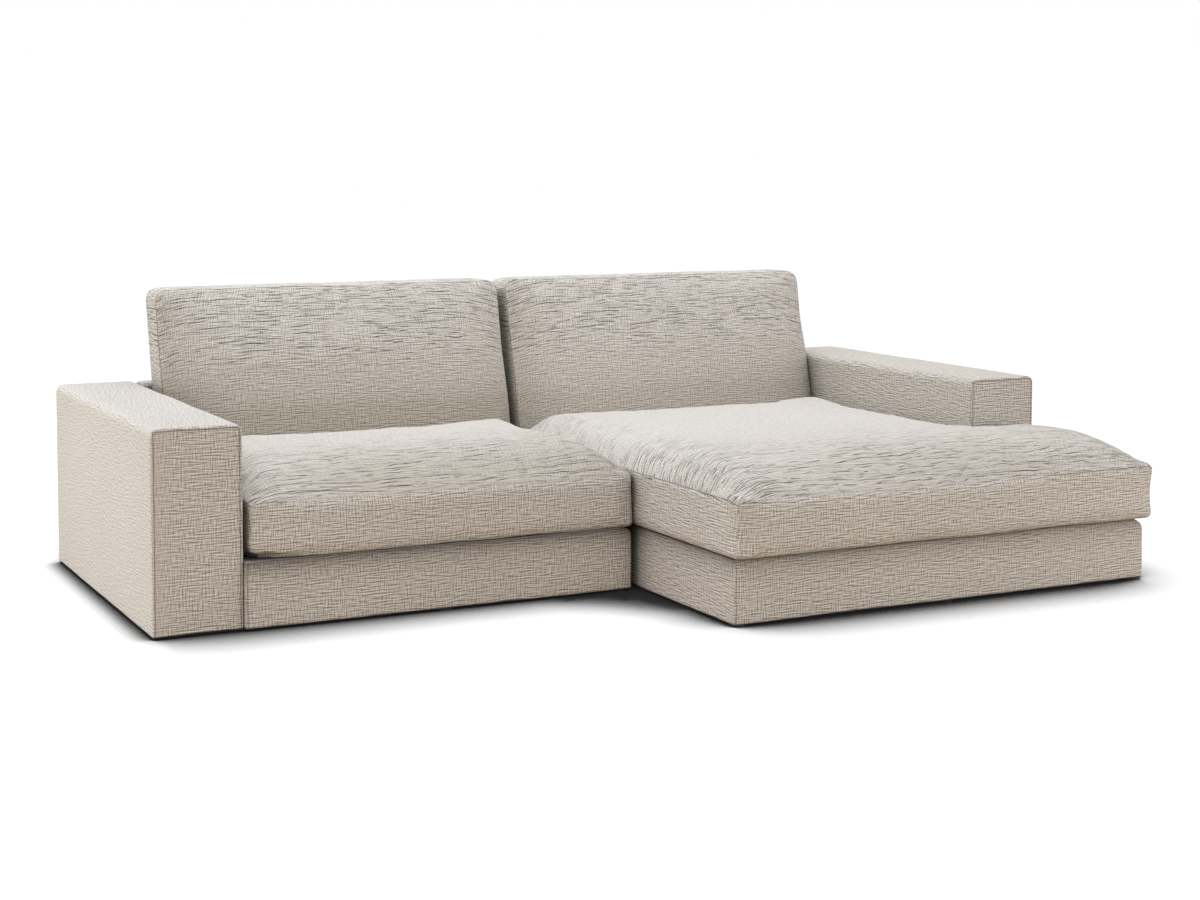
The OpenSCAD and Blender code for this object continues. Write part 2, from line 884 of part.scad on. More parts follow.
module seat_base_foam() {
    color(FOAM)
        place()
            base_foam(seat_plan, x_seat_end, base_r)
                left_bores(arm_w, x_seat_end);
}

module seat_base_cover() {
    color(FABRIC)
        place()
            base_cover(seat_plan, x_seat_end, base_r)
                left_bores(arm_w, x_seat_end);
}

module seat_deck_cloth() {
    color(DECK)
        place()
            deck_cloth(seat_plan);
}

module seat_dust_cover() {
    color(BLACK)
        place()
            difference() {
                slab(inset(seat_floor_plan, cover_t), glide_h, floor_gap);
                at_points(seat_glide_places)
                    cylinder(h = floor_gap + 1, r = screw_r + hole_fit);
                link_bores(link_screw_r + hole_fit);
            }
}

module seat_glides() {
    color(BLACK)
        place()
            at_points(seat_glide_places)
                glide();
}

module seat_glide_screws() {
    color(STEEL)
        place()
            at_points(seat_glide_places)
                glide_screw();
}

module seat_frame_bolts() {
    color(STEEL)
        place() {
            at_arm_bolts()
                bolt(arm_grip);
            at_back_bolts(arm_w, x_seat_end)
                bolt(back_grip);
        }
}

module seat_tee_nuts() {
    color(STEEL)
        place() {
            at_arm_bolts()
                tee_nut(arm_grip);
            at_back_bolts(arm_w, x_seat_end)
                tee_nut(back_grip);
        }
}

// Right arm

module right_arm_frame() {
    color(TIMBER)
        place()
            opposite()
                arm_frame();
}

module right_arm_panels() {
    color(HARDBOARD)
        place()
            opposite()
                arm_panels();
}

module right_arm_foam() {
    color(FOAM)
        place()
            opposite()
                arm_foam();
}

module right_arm_cover() {
    color(FABRIC)
        place()
            opposite()
                arm_cover();
}

// Back of the chaise section

module right_back_frame() {
    color(TIMBER)
        place()
            back_frame(x_chaise, x_right);
}

module right_back_panel() {
    color(HARDBOARD)
        place()
            back_panel(x_chaise, x_right);
}

module right_back_foam() {
    color(FOAM)
        place()
            back_foam(x_chaise, x_right);
}

module right_back_cover() {
    color(FABRIC)
        place()
            back_cover(x_chaise, x_right);
}

// Base of the chaise section, which runs in front of the right arm

module chaise_bores() {
    opposite()
        at_arm_bolts()
            bolt_bore(arm_grip);
    at_back_bolts(x_chaise, x_right)
        bolt_bore(back_grip);
}

module chaise_base_rails() {
    frame = inset(chaise_plan, skin);
    x0 = frame[0].x;
    x1 = frame[3].x;
    x2 = frame[1].x;
    y0 = frame[0].y;
    y1 = frame[3].y;
    y2 = frame[4].y;
    color(TIMBER)
        place()
            difference() {
                union() {
                    rail(x0, x2, y0, y0 + rail_t);
                    rail(x0, x0 + rail_t, y0 + rail_t, y2 - rail_t);
                    rail(x0, x1, y2 - rail_t, y2);
                    rail(x2 - rail_t, x2, y0 + rail_t, y1);
                    rail(x1 - rail_t, x2 - rail_t, y1 - rail_t, y1);
                    rail(x1 - rail_t, x1, y1, y2 - rail_t);
                    middle_rail(x0 + (x1 - x0) / 3, y0 + rail_t, y2 - rail_t);
                    middle_rail(x0 + (x1 - x0) * 2 / 3, y0 + rail_t, y2 - rail_t);
                }
                chaise_bores();
                glide_bores(chaise_glide_places);
                link_bores(link_screw_r + thread_fit);
            }
}

module chaise_corner_blocks() {
    frame = inset(chaise_plan, skin + rail_t);
    color(TIMBER)
        place() {
            corner_block(frame[0].x, frame[0].y, 1, 1);
            corner_block(frame[1].x, frame[1].y, -1, 1);
            corner_block(frame[2].x, frame[2].y, -1, -1);
            corner_block(frame[4].x, frame[4].y, -1, -1);
            corner_block(frame[5].x, frame[5].y, 1, -1);
        }
}

module chaise_webbing() {
    outer = inset(chaise_plan, skin);
    inner = inset(chaise_plan, skin + rail_t);
    color(STRAP)
        place() {
            straps_along_y(inner[0].x, inner[3].x, outer[0].y, outer[4].y);
            straps_along_y(outer[3].x, inner[1].x, outer[0].y, outer[2].y);
            straps_along_x(outer[0].x, outer[1].x, inner[0].y, inner[2].y);
            straps_along_x(outer[0].x, outer[3].x, outer[3].y, inner[4].y);
        }
}

module chaise_base_foam() {
    color(FOAM)
        place()
            base_foam(chaise_plan, x_chaise_end, chaise_r)
                chaise_bores();
}

module chaise_base_cover() {
    color(FABRIC)
        place()
            base_cover(chaise_plan, x_chaise_end, chaise_r)
                chaise_bores();
}

module chaise_deck_cloth() {
    color(DECK)
        place()
            deck_cloth(chaise_plan);
}

module chaise_dust_cover() {
    color(BLACK)
        place()
            difference() {
                slab(inset(chaise_floor_plan, cover_t), glide_h, floor_gap);
                at_points(chaise_glide_places)
                    cylinder(h = floor_gap + 1, r = screw_r + hole_fit);
                link_bores(link_screw_r + hole_fit);
            }
}

module chaise_glides() {
    color(BLACK)
        place()
            at_points(chaise_glide_places)
                glide();
}

module chaise_glide_screws() {
    color(STEEL)
        place()
            at_points(chaise_glide_places)
                glide_screw();
}

module chaise_frame_bolts() {
    color(STEEL)
        place() {
            opposite()
                at_arm_bolts()
                    bolt(arm_grip);
            at_back_bolts(x_chaise, x_right)
                bolt(back_grip);
        }
}

module chaise_tee_nuts() {
    color(STEEL)
        place() {
            opposite()
                at_arm_bolts()
                    tee_nut(arm_grip);
            at_back_bolts(x_chaise, x_right)
                tee_nut(back_grip);
        }
}

// Links between the sections

module link_plates() {
    reach = section_gap / 2 + skin + rail_t + link_over;
    color(STEEL)
        place()
            difference() {
                for (y = link_ys)
                    box(x_split - reach, x_split + reach, y - link_w / 2, y + link_w / 2, z_link, glide_h);
                link_bores(link_screw_r + hole_fit);
            }
}

module link_screws() {
    color(STEEL)
        place()
            at_points(link_places) {
                translate([0, 0, z_link - link_head_h])
                    cylinder(h = link_head_h, r = 2 * link_screw_r, $fn = 6);
                translate([0, 0, z_link])
                    cylinder(h = link_screw_l, r = link_screw_r);
            }
}

// Seat cushion

module seat_cushion_cover() {
    color(FABRIC)
        place()
            seat_cushion(
                seat_cushion_plan, seat_crown, seat_hub,
                no_notch, left_cushion_x[0], left_cushion_x[1]
            );
}

module seat_cushion_core() {
    color(FOAM)
        place()
            seat_core(seat_cushion_plan);
}

module seat_cushion_zip() {
    color(BLACK)
        place()
            seat_zip(left_cushion_x[0], left_cushion_x[1], y_zip - zip_t, y_zip);
}

// Chaise cushion, cut out round the front of the right arm

module chaise_cushion_cover() {
    color(FABRIC)
        place()
            seat_cushion(
                chaise_cushion_plan, chaise_crown, chaise_hub, chaise_cushion_plan[3],
                right_cushion_x[0], right_cushion_x[1]
            );
}

module chaise_cushion_core() {
    color(FOAM)
        place()
            seat_core(chaise_cushion_plan);
}

module chaise_cushion_zip() {
    color(BLACK)
        place()
            seat_zip(right_cushion_x[0], right_cushion_x[1], y_zip - zip_t, y_zip);
}

// Back cushions

module left_back_cushion_cover() {
    color(FABRIC)
        place()
            back_cushion(left_back_x[0], left_back_x[1]);
}

module left_back_cushion_core() {
    color(FOAM)
        place()
            back_core(left_back_x[0], left_back_x[1]);
}

module left_back_cushion_zip() {
    color(BLACK)
        place()
            back_zip(left_back_x[0], left_back_x[1], 1, 1 + zip_t);
}

module right_back_cushion_cover() {
    color(FABRIC)
        place()
            back_cushion(right_back_x[0], right_back_x[1]);
}

module right_back_cushion_core() {
    color(FOAM)
        place()
            back_core(right_back_x[0], right_back_x[1]);
}

module right_back_cushion_zip() {
    color(BLACK)
        place()
            back_zip(right_back_x[0], right_back_x[1], 1, 1 + zip_t);
}

left_arm_frame();
left_arm_panels();
left_arm_foam();
left_arm_cover();
left_back_frame();
left_back_panel();
left_back_foam();
left_back_cover();
seat_base_rails();
seat_corner_blocks();
seat_webbing();
seat_base_foam();
seat_base_cover();
seat_deck_cloth();
seat_dust_cover();
seat_glides();
seat_glide_screws();
seat_frame_bolts();
seat_tee_nuts();
right_arm_frame();
right_arm_panels();
right_arm_foam();
right_arm_cover();
right_back_frame();
right_back_panel();
right_back_foam();
right_back_cover();
chaise_base_rails();
chaise_corner_blocks();
chaise_webbing();
chaise_base_foam();
chaise_base_cover();
chaise_deck_cloth();
chaise_dust_cover();
chaise_glides();
chaise_glide_screws();
chaise_frame_bolts();
chaise_tee_nuts();
link_plates();
link_screws();
seat_cushion_cover();
seat_cushion_core();
seat_cushion_zip();
chaise_cushion_cover();
chaise_cushion_core();
chaise_cushion_zip();
left_back_cushion_cover();
left_back_cushion_core();
left_back_cushion_zip();
right_back_cushion_cover();
right_back_cushion_core();
right_back_cushion_zip();
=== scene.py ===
import math

import bpy
import numpy as np
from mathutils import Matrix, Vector


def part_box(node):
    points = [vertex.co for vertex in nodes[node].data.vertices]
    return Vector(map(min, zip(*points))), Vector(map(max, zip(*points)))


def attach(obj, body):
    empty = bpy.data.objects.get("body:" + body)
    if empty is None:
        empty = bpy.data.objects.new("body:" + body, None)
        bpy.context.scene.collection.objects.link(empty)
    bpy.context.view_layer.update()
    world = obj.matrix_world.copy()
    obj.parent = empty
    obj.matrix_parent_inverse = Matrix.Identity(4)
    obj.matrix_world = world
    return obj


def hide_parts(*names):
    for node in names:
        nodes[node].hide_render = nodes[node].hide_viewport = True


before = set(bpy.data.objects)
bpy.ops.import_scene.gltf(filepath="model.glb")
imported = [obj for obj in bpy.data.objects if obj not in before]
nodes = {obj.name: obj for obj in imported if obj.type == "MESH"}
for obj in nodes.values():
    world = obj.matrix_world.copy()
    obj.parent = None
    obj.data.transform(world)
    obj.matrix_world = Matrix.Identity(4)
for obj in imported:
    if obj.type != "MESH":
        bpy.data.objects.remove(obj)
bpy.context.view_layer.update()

# Timber frames: base rails with corner blocks, and the boards and rails inside the arms and backs.
# They are planed softwood, left bare because the cloth hides them, glued and screwed together.


class Number:
    """A value inside a finish, which Python's own signs add, subtract, scale and raise."""

    def __init__(self, finish, socket):
        self.finish = finish
        self.socket = socket

    def math(self, operation, *others, clamp=False):
        return self.finish.node("Math", {"operation": operation, "use_clamp": clamp}, [self, *others])

    def __add__(self, other):
        return self.math("ADD", other)

    __radd__ = __add__

    def __sub__(self, other):
        return self.math("SUBTRACT", other)

    def __rsub__(self, other):
        return self.finish.node("Math", {"operation": "SUBTRACT"}, [other, self])

    def __mul__(self, other):
        return self.math("MULTIPLY", other)

    __rmul__ = __mul__

    def __pow__(self, other):
        return self.math("POWER", other)

    def __abs__(self):
        return self.math("ABSOLUTE")

    def within(self):
        return self.math("ADD", 0.0, clamp=True)


class Finish:
    """One material. Constants go straight onto its shader, and node() adds every other node."""

    def __init__(self, name, **constants):
        self.material = bpy.data.materials.new(name)
        self.material.use_nodes = True
        self.tree = self.material.node_tree
        self.shader = self.tree.nodes["Principled BSDF"]
        for key, value in constants.items():
            self.shader.inputs[key.replace("_", " ")].default_value = value

    def node(self, kind, settings, sockets, output=0):
        made = self.tree.nodes.new("ShaderNode" + kind)
        for key, value in settings.items():
            setattr(made, key, value)
        for key, value in sockets.items() if isinstance(sockets, dict) else enumerate(sockets):
            if isinstance(value, Number):
                self.tree.links.new(value.socket, made.inputs[key])
            elif made.inputs[key].type == "RGBA":
                made.inputs[key].default_value = (*value, 1.0)
            else:
                made.inputs[key].default_value = value
        return Number(self, made.outputs[output])

    @property
    def place(self):
        return self.node("TexCoord", {}, {}, 3)

    def vector(self, operation, *vectors):
        return self.node("VectorMath", {"operation": operation}, vectors)

    def cloud(self, sizes, detail=2.0, rough=0.5, at=None):
        """Soft noise, finer where sizes, one number or one for each axis, are larger."""
        if sizes != 1.0:
            sizes = sizes if isinstance(sizes, tuple) else (sizes,) * 3
            at = self.vector("MULTIPLY", at or self.place, sizes)
        return self.node("TexNoise", {}, {"Vector": at, "Scale": 1.0, "Detail": detail, "Roughness": rough})

    def weave(self, pitch):
        """Level threads crossed by upright ones, from 0 between them to 1 on top of them."""
        across = self.node("SeparateXYZ", {}, [self.place])
        along = self.node("SeparateXYZ", {}, [self.place], 1)
        return (across * pitch).math("SINE") * (along * pitch).math("SINE") * 0.5 + 0.5

    def mix(self, factor, a, b, way="MIX"):
        return self.node("Mix", {"data_type": "RGBA", "blend_type": way}, {0: factor, 6: a, 7: b}, 2)

    def colour(self, value):
        self.tree.links.new(value.socket, self.shader.inputs["Base Color"])

    def roughness(self, value):
        self.tree.links.new(value.socket, self.shader.inputs["Roughness"])

    def relief(self, height, millimetres=1.0):
        bump = self.node("Bump", {}, {"Strength": 1.0, "Distance": millimetres / 1000, "Height": height})
        self.tree.links.new(bump.socket, self.shader.inputs["Normal"])

    def cover(self, *endings):
        """Gives the finish to every node whose name ends in one of endings."""
        for name, node in nodes.items():
            if name.endswith(endings):
                node.data.materials.clear()
                node.data.materials.append(self.material)


softwood = Finish("softwood", Roughness=0.6)
rings = softwood.cloud((9.0, 9.0, 70.0), 3.0, 0.6)
pores = softwood.cloud((40.0, 40.0, 900.0), 2.0, 0.6)
grain = (rings * 7.0).math("FRACT") * 0.7 + pores * 0.3
softwood.colour(softwood.mix(grain, (0.60, 0.41, 0.22), (0.79, 0.61, 0.38)))
softwood.roughness(grain * 0.15 + 0.52)
softwood.relief(grain, 0.3)
softwood.cover("_rails", "_corner_blocks", "_frame")

# Hardboard panels: thin brown sheets pinned to the faces of the arm frames and the backs.
# One side is smooth from the press, with a faint fleck of darker fibres.

hardboard = Finish("hardboard", Roughness=0.5)
fleck = hardboard.cloud(240.0, 3.0, 0.7)
patch = hardboard.cloud(12.0)
brown = hardboard.mix((fleck * 1.6 - 0.3).within(), (0.20, 0.11, 0.055), (0.36, 0.22, 0.12))
hardboard.colour(hardboard.mix(patch * 0.4, brown, (0.27, 0.16, 0.085)))
hardboard.roughness(fleck * 0.2 + 0.4)
hardboard.relief(fleck, 0.15)
hardboard.cover("_panels", "_panel")

# Webbing: black elastic straps stapled to the rails, one layer along the sofa over one across it.
# The straps are woven, with a fine rib across them.

webbing = Finish("webbing", Roughness=0.8)
rib = webbing.weave(1800.0)
dust = webbing.cloud(30.0)
webbing.colour(webbing.mix(rib * 0.6 + dust * 0.3, (0.018, 0.018, 0.02), (0.075, 0.072, 0.07)))
webbing.roughness(0.9 - rib * 0.2)
webbing.relief(rib, 0.4)
webbing.cover("_webbing")

# Foam: cut sheets glued round the arms, backs and bases, and the cores of the loose cushions.
# It is cream open-cell foam, a little yellowed, with small pores.

foam = Finish("foam", Roughness=0.95)
pore = foam.cloud(420.0, 2.0, 0.7)
tint = foam.cloud(5.0)
cream = foam.mix(tint, (0.80, 0.71, 0.49), (0.88, 0.82, 0.64))
foam.colour(foam.mix((pore * 2.0 - 0.7).within(), (0.62, 0.52, 0.33), cream))
foam.roughness(pore * 0.1 + 0.88)
foam.relief(pore, 0.8)
foam.cover("_foam", "_core")

# Deck cloths: plain taupe lining over the foam of each base, where the seat cushions lie.
# It is a tight plain weave, sewn to the upholstery border round it.

lining = Finish("lining", Roughness=0.9)
weave = lining.weave(2600.0)
wear = lining.cloud(7.0, 3.0)
taupe = lining.mix(weave, (0.19, 0.175, 0.155), (0.28, 0.26, 0.235))
lining.colour(lining.mix(wear * 0.5, taupe, (0.32, 0.30, 0.27)))
lining.roughness(0.95 - weave * 0.1)
lining.relief(weave, 0.3)
lining.cover("_deck_cloth")

# Dust covers: black bonded cloth stapled under both sections, with the link plates screwed over it.
# Its fibres are pressed together with small round dots, and dust greys it slightly.

bonded = Finish("bonded_cloth", Roughness=0.85)
dots = bonded.node("TexVoronoi", {}, {"Vector": bonded.place, "Scale": 320.0})
fibre = bonded.cloud(160.0, 4.0, 0.7)
press = (dots * 1.8).within()
bonded.colour(bonded.mix(press * 0.5 + fibre * 0.4, (0.012, 0.012, 0.013), (0.06, 0.058, 0.056)))
bonded.roughness(press * 0.2 + 0.7)
bonded.relief(press, 0.25)
bonded.cover("_dust_cover")

# Glides: round black plastic feet under the rails and arms, each held by one countersunk screw.
# They are moulded, faintly grained, and scuffed where they slide.

glide_plastic = Finish("glide_plastic", Roughness=0.45)
mould = glide_plastic.cloud(700.0)
scuff = (glide_plastic.cloud(60.0, 4.0) * 3.0 - 1.4).within()
glide_plastic.colour(glide_plastic.mix(scuff * 0.5, (0.015, 0.015, 0.016), (0.07, 0.068, 0.065)))
glide_plastic.roughness(scuff * 0.3 + 0.38)
glide_plastic.relief(mould, 0.1)
glide_plastic.cover("_glides")

# Fasteners: frame bolts with their tee nuts, glide and link screws, and the two link plates.
# All are zinc-plated steel, slightly clouded.

zinc = Finish("zinc_plate", Metallic=1.0, Roughness=0.35)
bloom = zinc.cloud(90.0, 4.0, 0.6)
draw = zinc.cloud((40.0, 900.0, 900.0))
zinc.colour(zinc.mix(bloom, (0.48, 0.49, 0.50), (0.66, 0.66, 0.65)))
zinc.roughness(bloom * 0.25 + draw * 0.1 + 0.2)
zinc.relief(draw, 0.05)
zinc.cover("_bolts", "_tee_nuts", "_screws", "_plates")

# Arms: each is one length of slub-woven cloth wrapped over foam from the outer foot to the inner one,
# sewn to a front and a rear panel with the seam allowance turned outwards into a narrow rounded lip.
# Beige yarns of uneven thickness stand up in short streaks both ways, and painted highlights and painted
# shade on their flanks give the cloth its short light and dark streaks.


def embossed(cloth, lie, along, across, shift):
    """Painted highlights and painted shade on yarns lit from above or from the left: how light and how dark
    each place on their flanks is painted.
    """
    here = cloth.vector("MULTIPLY", lie, (along, across, 1.0))
    height = cloth.cloud(1.0, 0.6, at=here)
    flank = height - cloth.cloud(1.0, 0.6, at=cloth.vector("ADD", here, shift))
    return height, ((flank - 0.035) * 7.0).within(), ((flank + 0.035) * -7.0).within()


def fold_lines(cloth, lie, along, across, lift, sharp):
    """Short sharp valleys along the weft, each with a raised lip above it."""
    here = cloth.vector("MULTIPLY", lie, (along, across, 1.0))
    level = cloth.cloud(1.0, 0.5, at=here)
    below = cloth.cloud(1.0, 0.5, at=cloth.vector("ADD", here, (0.0, -lift * across, 0.0)))
    steep = ((level - below) * 8.0 - 0.2).within()
    valley = (1.0 - abs(level - 0.5) * sharp).within() * steep
    lip = (1.0 - abs(below - 0.5) * sharp).within() * steep
    return valley, lip


# The marks that the cloth reads from each place, as they are where a piece sets none: how crinkled and how
# broadly creased it is, how calm, how deep its painted shade is (painted light below 0), how much painted
# shadow it gets beside the shade read from its gaps (less below 0), and its distance in metres from a seam
# and from the edge that the cloth rolls over
marks = {"crinkle": 0.0, "broad": 0.0, "calm": 0.0, "painted_tone": 0.0, "under": 0.0, "seam": 1.0, "roll": 1.0}


def slub_cloth():
    """Upholstery cloth. The map "cloth" is in metres along and across the weft."""
    cloth = Finish("slub_cloth", Roughness=0.93, Sheen_Weight=0.06, Sheen_Roughness=0.5)
    cloth.shader.inputs["Specular IOR Level"].default_value = 0.2
    lie = cloth.node("UVMap", {"uv_map": "cloth"}, {})
    read = [cloth.node("Attribute", {"attribute_name": name}, {}, 2) for name in marks]
    crinkle, broad, calm, painted_tone, under, seam, roll = read
    # Yarns: wefts lie level, warps stand upright, and both swell and thin along their length
    weft, lit_weft, shaded_weft = embossed(cloth, lie, 25.0, 245.0, (0.0, 0.5, 0.0))
    warp, lit_warp, shaded_warp = embossed(cloth, lie, 225.0, 31.0, (-0.5, 0.0, 0.0))
    slack, lit_slack, shaded_slack = embossed(cloth, lie, 13.0, 84.0, (0.0, 0.5, 0.0))
    # Crinkles: close ones on the back cushions and beside the seams, wider ones on the seat cushions
    drift = cloth.cloud((4.0, 7.0, 1.0), at=lie)
    sway = cloth.node("CombineXYZ", {}, [0.0, (drift - 0.5) * 0.03, 0.0])
    swayed = cloth.vector("ADD", lie, sway)
    broken = cloth.cloud((13.0, 50.0, 1.0), 0.0, at=swayed)
    patchy = cloth.cloud((6.0, 10.0, 1.0), 1.0, at=lie)
    kept = ((broken - 0.35) * 9.0).within() * ((patchy - 0.26) * 4.5).within()
    close_valley, close_lip = fold_lines(cloth, swayed, 11.0, 140.0, 0.0030, 13.5)
    wide_valley, wide_lip = fold_lines(cloth, swayed, 13.0, 78.0, 0.0052, 13.0)
    crease = (close_valley * crinkle * 1.6 + wide_valley * broad * 2.0) * kept
    lip = (close_lip * crinkle + wide_lip * broad) * kept
    # Long creases that follow the front edge of a seat cushion, where the cloth rolls over it
    depth = roll + (drift - 0.5) * 0.02
    first = (1.0 - abs(depth - 0.026) * 330.0).within()
    second = (1.0 - abs(depth - 0.058) * 330.0).within()
    rest = cloth.cloud((4.0, 8.0, 1.0), at=lie)
    long_crease = (first + second * 0.8) * ((rest - 0.41) * 7.0).within()
    # Seams: a pressed groove with a row of puckers beside it
    groove = (1.0 - seam * 520.0).within()
    beside = (1.0 - seam * 60.0).within()
    pucker = cloth.cloud((95.0, 95.0, 1.0), 1.0, at=lie) * beside
    shade = cloth.cloud((2.6, 2.6, 1.0), 2.0, at=lie)
    # Beige yarns with painted highlights on their lit flanks and painted shade on their shaded ones, painted
    # highlights on the crease lips and painted shade in the creases and gaps; the seams are darker still
    pale, dark = (0.90, 0.875, 0.84), (0.25, 0.203, 0.155)
    crease_shade, in_seams, gap_shade = (0.15, 0.115, 0.085), (0.13, 0.10, 0.075), (0.06, 0.047, 0.035)
    shade_deepening = (0.6, 0.555, 0.475)
    plain = cloth.mix((shade * 1.6 - 0.3).within(), (0.655, 0.603, 0.542), (0.695, 0.645, 0.585))
    # Painted light: where the painted tone is below 0 the cloth is paler
    paler = cloth.mix((painted_tone * -1.0).within(), plain, pale)
    strength = (1.0 - calm * 0.38) * (1.0 - broad * 0.35)
    # Painted shade and painted highlights on the flanks of the warps, the wefts and the slack yarns
    crossed = cloth.mix(shaded_warp * strength * 0.66, paler, dark)
    warped = cloth.mix(lit_warp * strength * 0.75, crossed, pale)
    shaded_flanks = (shaded_weft * strength + shaded_slack * broad * 0.35).within()
    barred = cloth.mix(shaded_flanks * 0.72, warped, dark)
    raised = (lit_weft * strength + lit_slack * broad * 0.3).within()
    woven = cloth.mix(raised * 0.8, barred, pale)
    # Painted highlights on the lips of the creases and painted shade down in them and in the long creases
    lifted = cloth.mix((lip * 0.5).within(), woven, pale)
    folded = cloth.mix((crease * 0.85 + long_crease * 0.85).within(), lifted, crease_shade)
    sewn = cloth.mix(groove * 0.7, folded, in_seams)
    # Painted shade: where the painted tone is above 0 the cloth is deeper and warmer
    toned = cloth.mix(painted_tone.within(), sewn, shade_deepening, "MULTIPLY")
    # Painted shade: under an overhang and down in the gaps between the pieces the cloth is darkened as far as
    # nearby surfaces hide the sky above it, with more painted shadow or less where a piece marks it
    upward = cloth.vector("ADD", cloth.node("NewGeometry", {}, {}, 1), (0.0, 0.0, 1.5))
    tilted = cloth.vector("NORMALIZE", upward)
    gap = cloth.node("AmbientOcclusion", {"samples": 4}, {"Distance": 0.09, "Normal": tilted}, 1)
    painted_shade = (((0.745 - gap) * 1.15).within() * 0.95 + under).within()
    cloth.colour(cloth.mix(painted_shade, toned, gap_shade))
    cloth.roughness(0.98 - weft * 0.1)
    yarns = (weft + warp * 0.8) * (1.0 - calm * 0.85) + slack * broad * 0.8
    cloth.relief(yarns + (lip - crease) * 1.6 - long_crease * 1.4 - groove * 1.3 + pucker * 0.8)
    return cloth


upholstery = slub_cloth()


def ripple(points, length, seed):
    """A smooth uneven rise and fall over points, from about -1 to 1, its waves about length apart."""
    dice = np.random.default_rng(seed)
    total = np.zeros(len(points))
    for _ in range(9):
        way = dice.normal(size=3)
        way = way / np.linalg.norm(way) * dice.uniform(0.6, 1.5)
        total += np.sin(points @ way * (2 * math.pi / length) + dice.uniform(0, 2 * math.pi))
    return total / 4.5


def corner_mesh(name, points, faces):
    """A mesh object from points and faces, with points that meet joined into one."""
    mesh = bpy.data.meshes.new(name)
    mesh.from_pydata([tuple(p) for p in points], [], [tuple(f) for f in faces])
    mesh.validate()
    made = bpy.data.objects.new(name, mesh)
    bpy.context.scene.collection.objects.link(made)
    weld = made.modifiers.new("weld", "WELD")
    weld.merge_threshold = 0.0002
    settle(made)
    return made


def settle(piece):
    """Applies a piece's modifiers to its mesh."""
    bpy.context.view_layer.update()
    graph = bpy.context.evaluated_depsgraph_get()
    mesh = bpy.data.meshes.new_from_object(piece.evaluated_get(graph))
    piece.modifiers.clear()
    piece.data = mesh
    mesh.name = piece.name


def smoothed(piece):
    """Rounds a piece by one level of subdivision, and gives its new points."""
    smooth = piece.modifiers.new("smooth", "SUBSURF")
    smooth.levels = 1
    settle(piece)
    return coordinates(piece)


def coordinates(piece, kind="co"):
    """A row of three numbers for each point of a piece: where it is or, as "normal", how it faces."""
    flat = np.empty(len(piece.data.vertices) * 3)
    piece.data.vertices.foreach_get(kind, flat)
    return flat.reshape(-1, 3)


def reshape(piece, points):
    piece.data.vertices.foreach_set("co", points.ravel())
    piece.data.update()


def mark(piece, name, values):
    """Stores one number for each vertex, which the cloth reads."""
    layer = piece.data.attributes.get(name) or piece.data.attributes.new(name, "FLOAT", "POINT")
    layer.data.foreach_set("value", np.asarray(values, dtype=np.float32))


def marked(piece, name):
    values = np.empty(len(piece.data.vertices), dtype=np.float32)
    piece.data.attributes[name].data.foreach_get("value", values)
    return values


def lay_cloth(piece, bend=None):
    """Lays the weave on a piece in metres, the weft level on upright faces and along X on flat ones.

    A crowned face, marked "lid", is laid by its own marks, with bend added across the weft.
    """
    mesh = piece.data
    at = coordinates(piece)
    count = len(mesh.loops)
    corner = np.empty(count, dtype=np.int64)
    mesh.loops.foreach_get("vertex_index", corner)
    facing = np.empty(len(mesh.polygons) * 3)
    mesh.polygons.foreach_get("normal", facing)
    facing = np.abs(facing.reshape(-1, 3))
    sizes = np.empty(len(mesh.polygons), dtype=np.int64)
    mesh.polygons.foreach_get("loop_total", sizes)
    starts = np.concatenate([[0], np.cumsum(sizes)[:-1]])
    facing = np.repeat(facing, sizes, axis=0)
    top = facing[:, 2] > np.maximum(facing[:, 0], facing[:, 1]) * 0.9
    side = (facing[:, 0] > facing[:, 1]) & ~top
    spot = at[corner]
    along = np.where(side, spot[:, 1] + 7.3, spot[:, 0])
    across = np.where(top, spot[:, 1] + 3.1, spot[:, 2])
    if "lid" in mesh.attributes:
        whole = np.minimum.reduceat(marked(piece, "lid")[corner], starts) > 0.995
        whole = np.repeat(whole, sizes)
        along = np.where(whole, marked(piece, "lid_along")[corner], along)
        across = np.where(whole, (marked(piece, "lid_across") + bend)[corner], across)
    layer = mesh.uv_layers.new(name="cloth")
    layer.data.foreach_set("uv", np.stack([along, across], 1).astype(np.float32).ravel())


def crowned(piece, lid, at, rise, plan):
    """Marks a crowned face with its lengths along and across the weft, measured over the crown."""
    x, y = at[:, 0], at[:, 1]
    drop = rise - rise[lid].max()
    half = np.tanh((x - sum(plan.x_range) / 2) / 0.2)
    ends = np.exp(-(((y - plan.y_range[0]) / 0.16) ** 2)) - np.exp(-(((plan.y_range[1] - y) / 0.1) ** 2))
    mark(piece, "lid", lid.astype(float))
    mark(piece, "lid_along", x - drop * half)
    mark(piece, "lid_across", y + drop * ends + 3.1)


def finish_piece(piece, body, node):
    """Shades a sewn piece smoothly, covers it in the cloth and hands it to the body that carries it."""
    for name, value in marks.items():
        if name not in piece.data.attributes:
            mark(piece, name, np.full(len(piece.data.vertices), value))
    piece.data.materials.clear()
    piece.data.materials.append(upholstery.material)
    piece.data.polygons.foreach_set("use_smooth", [True] * len(piece.data.polygons))
    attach(piece, body)
    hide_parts(node)


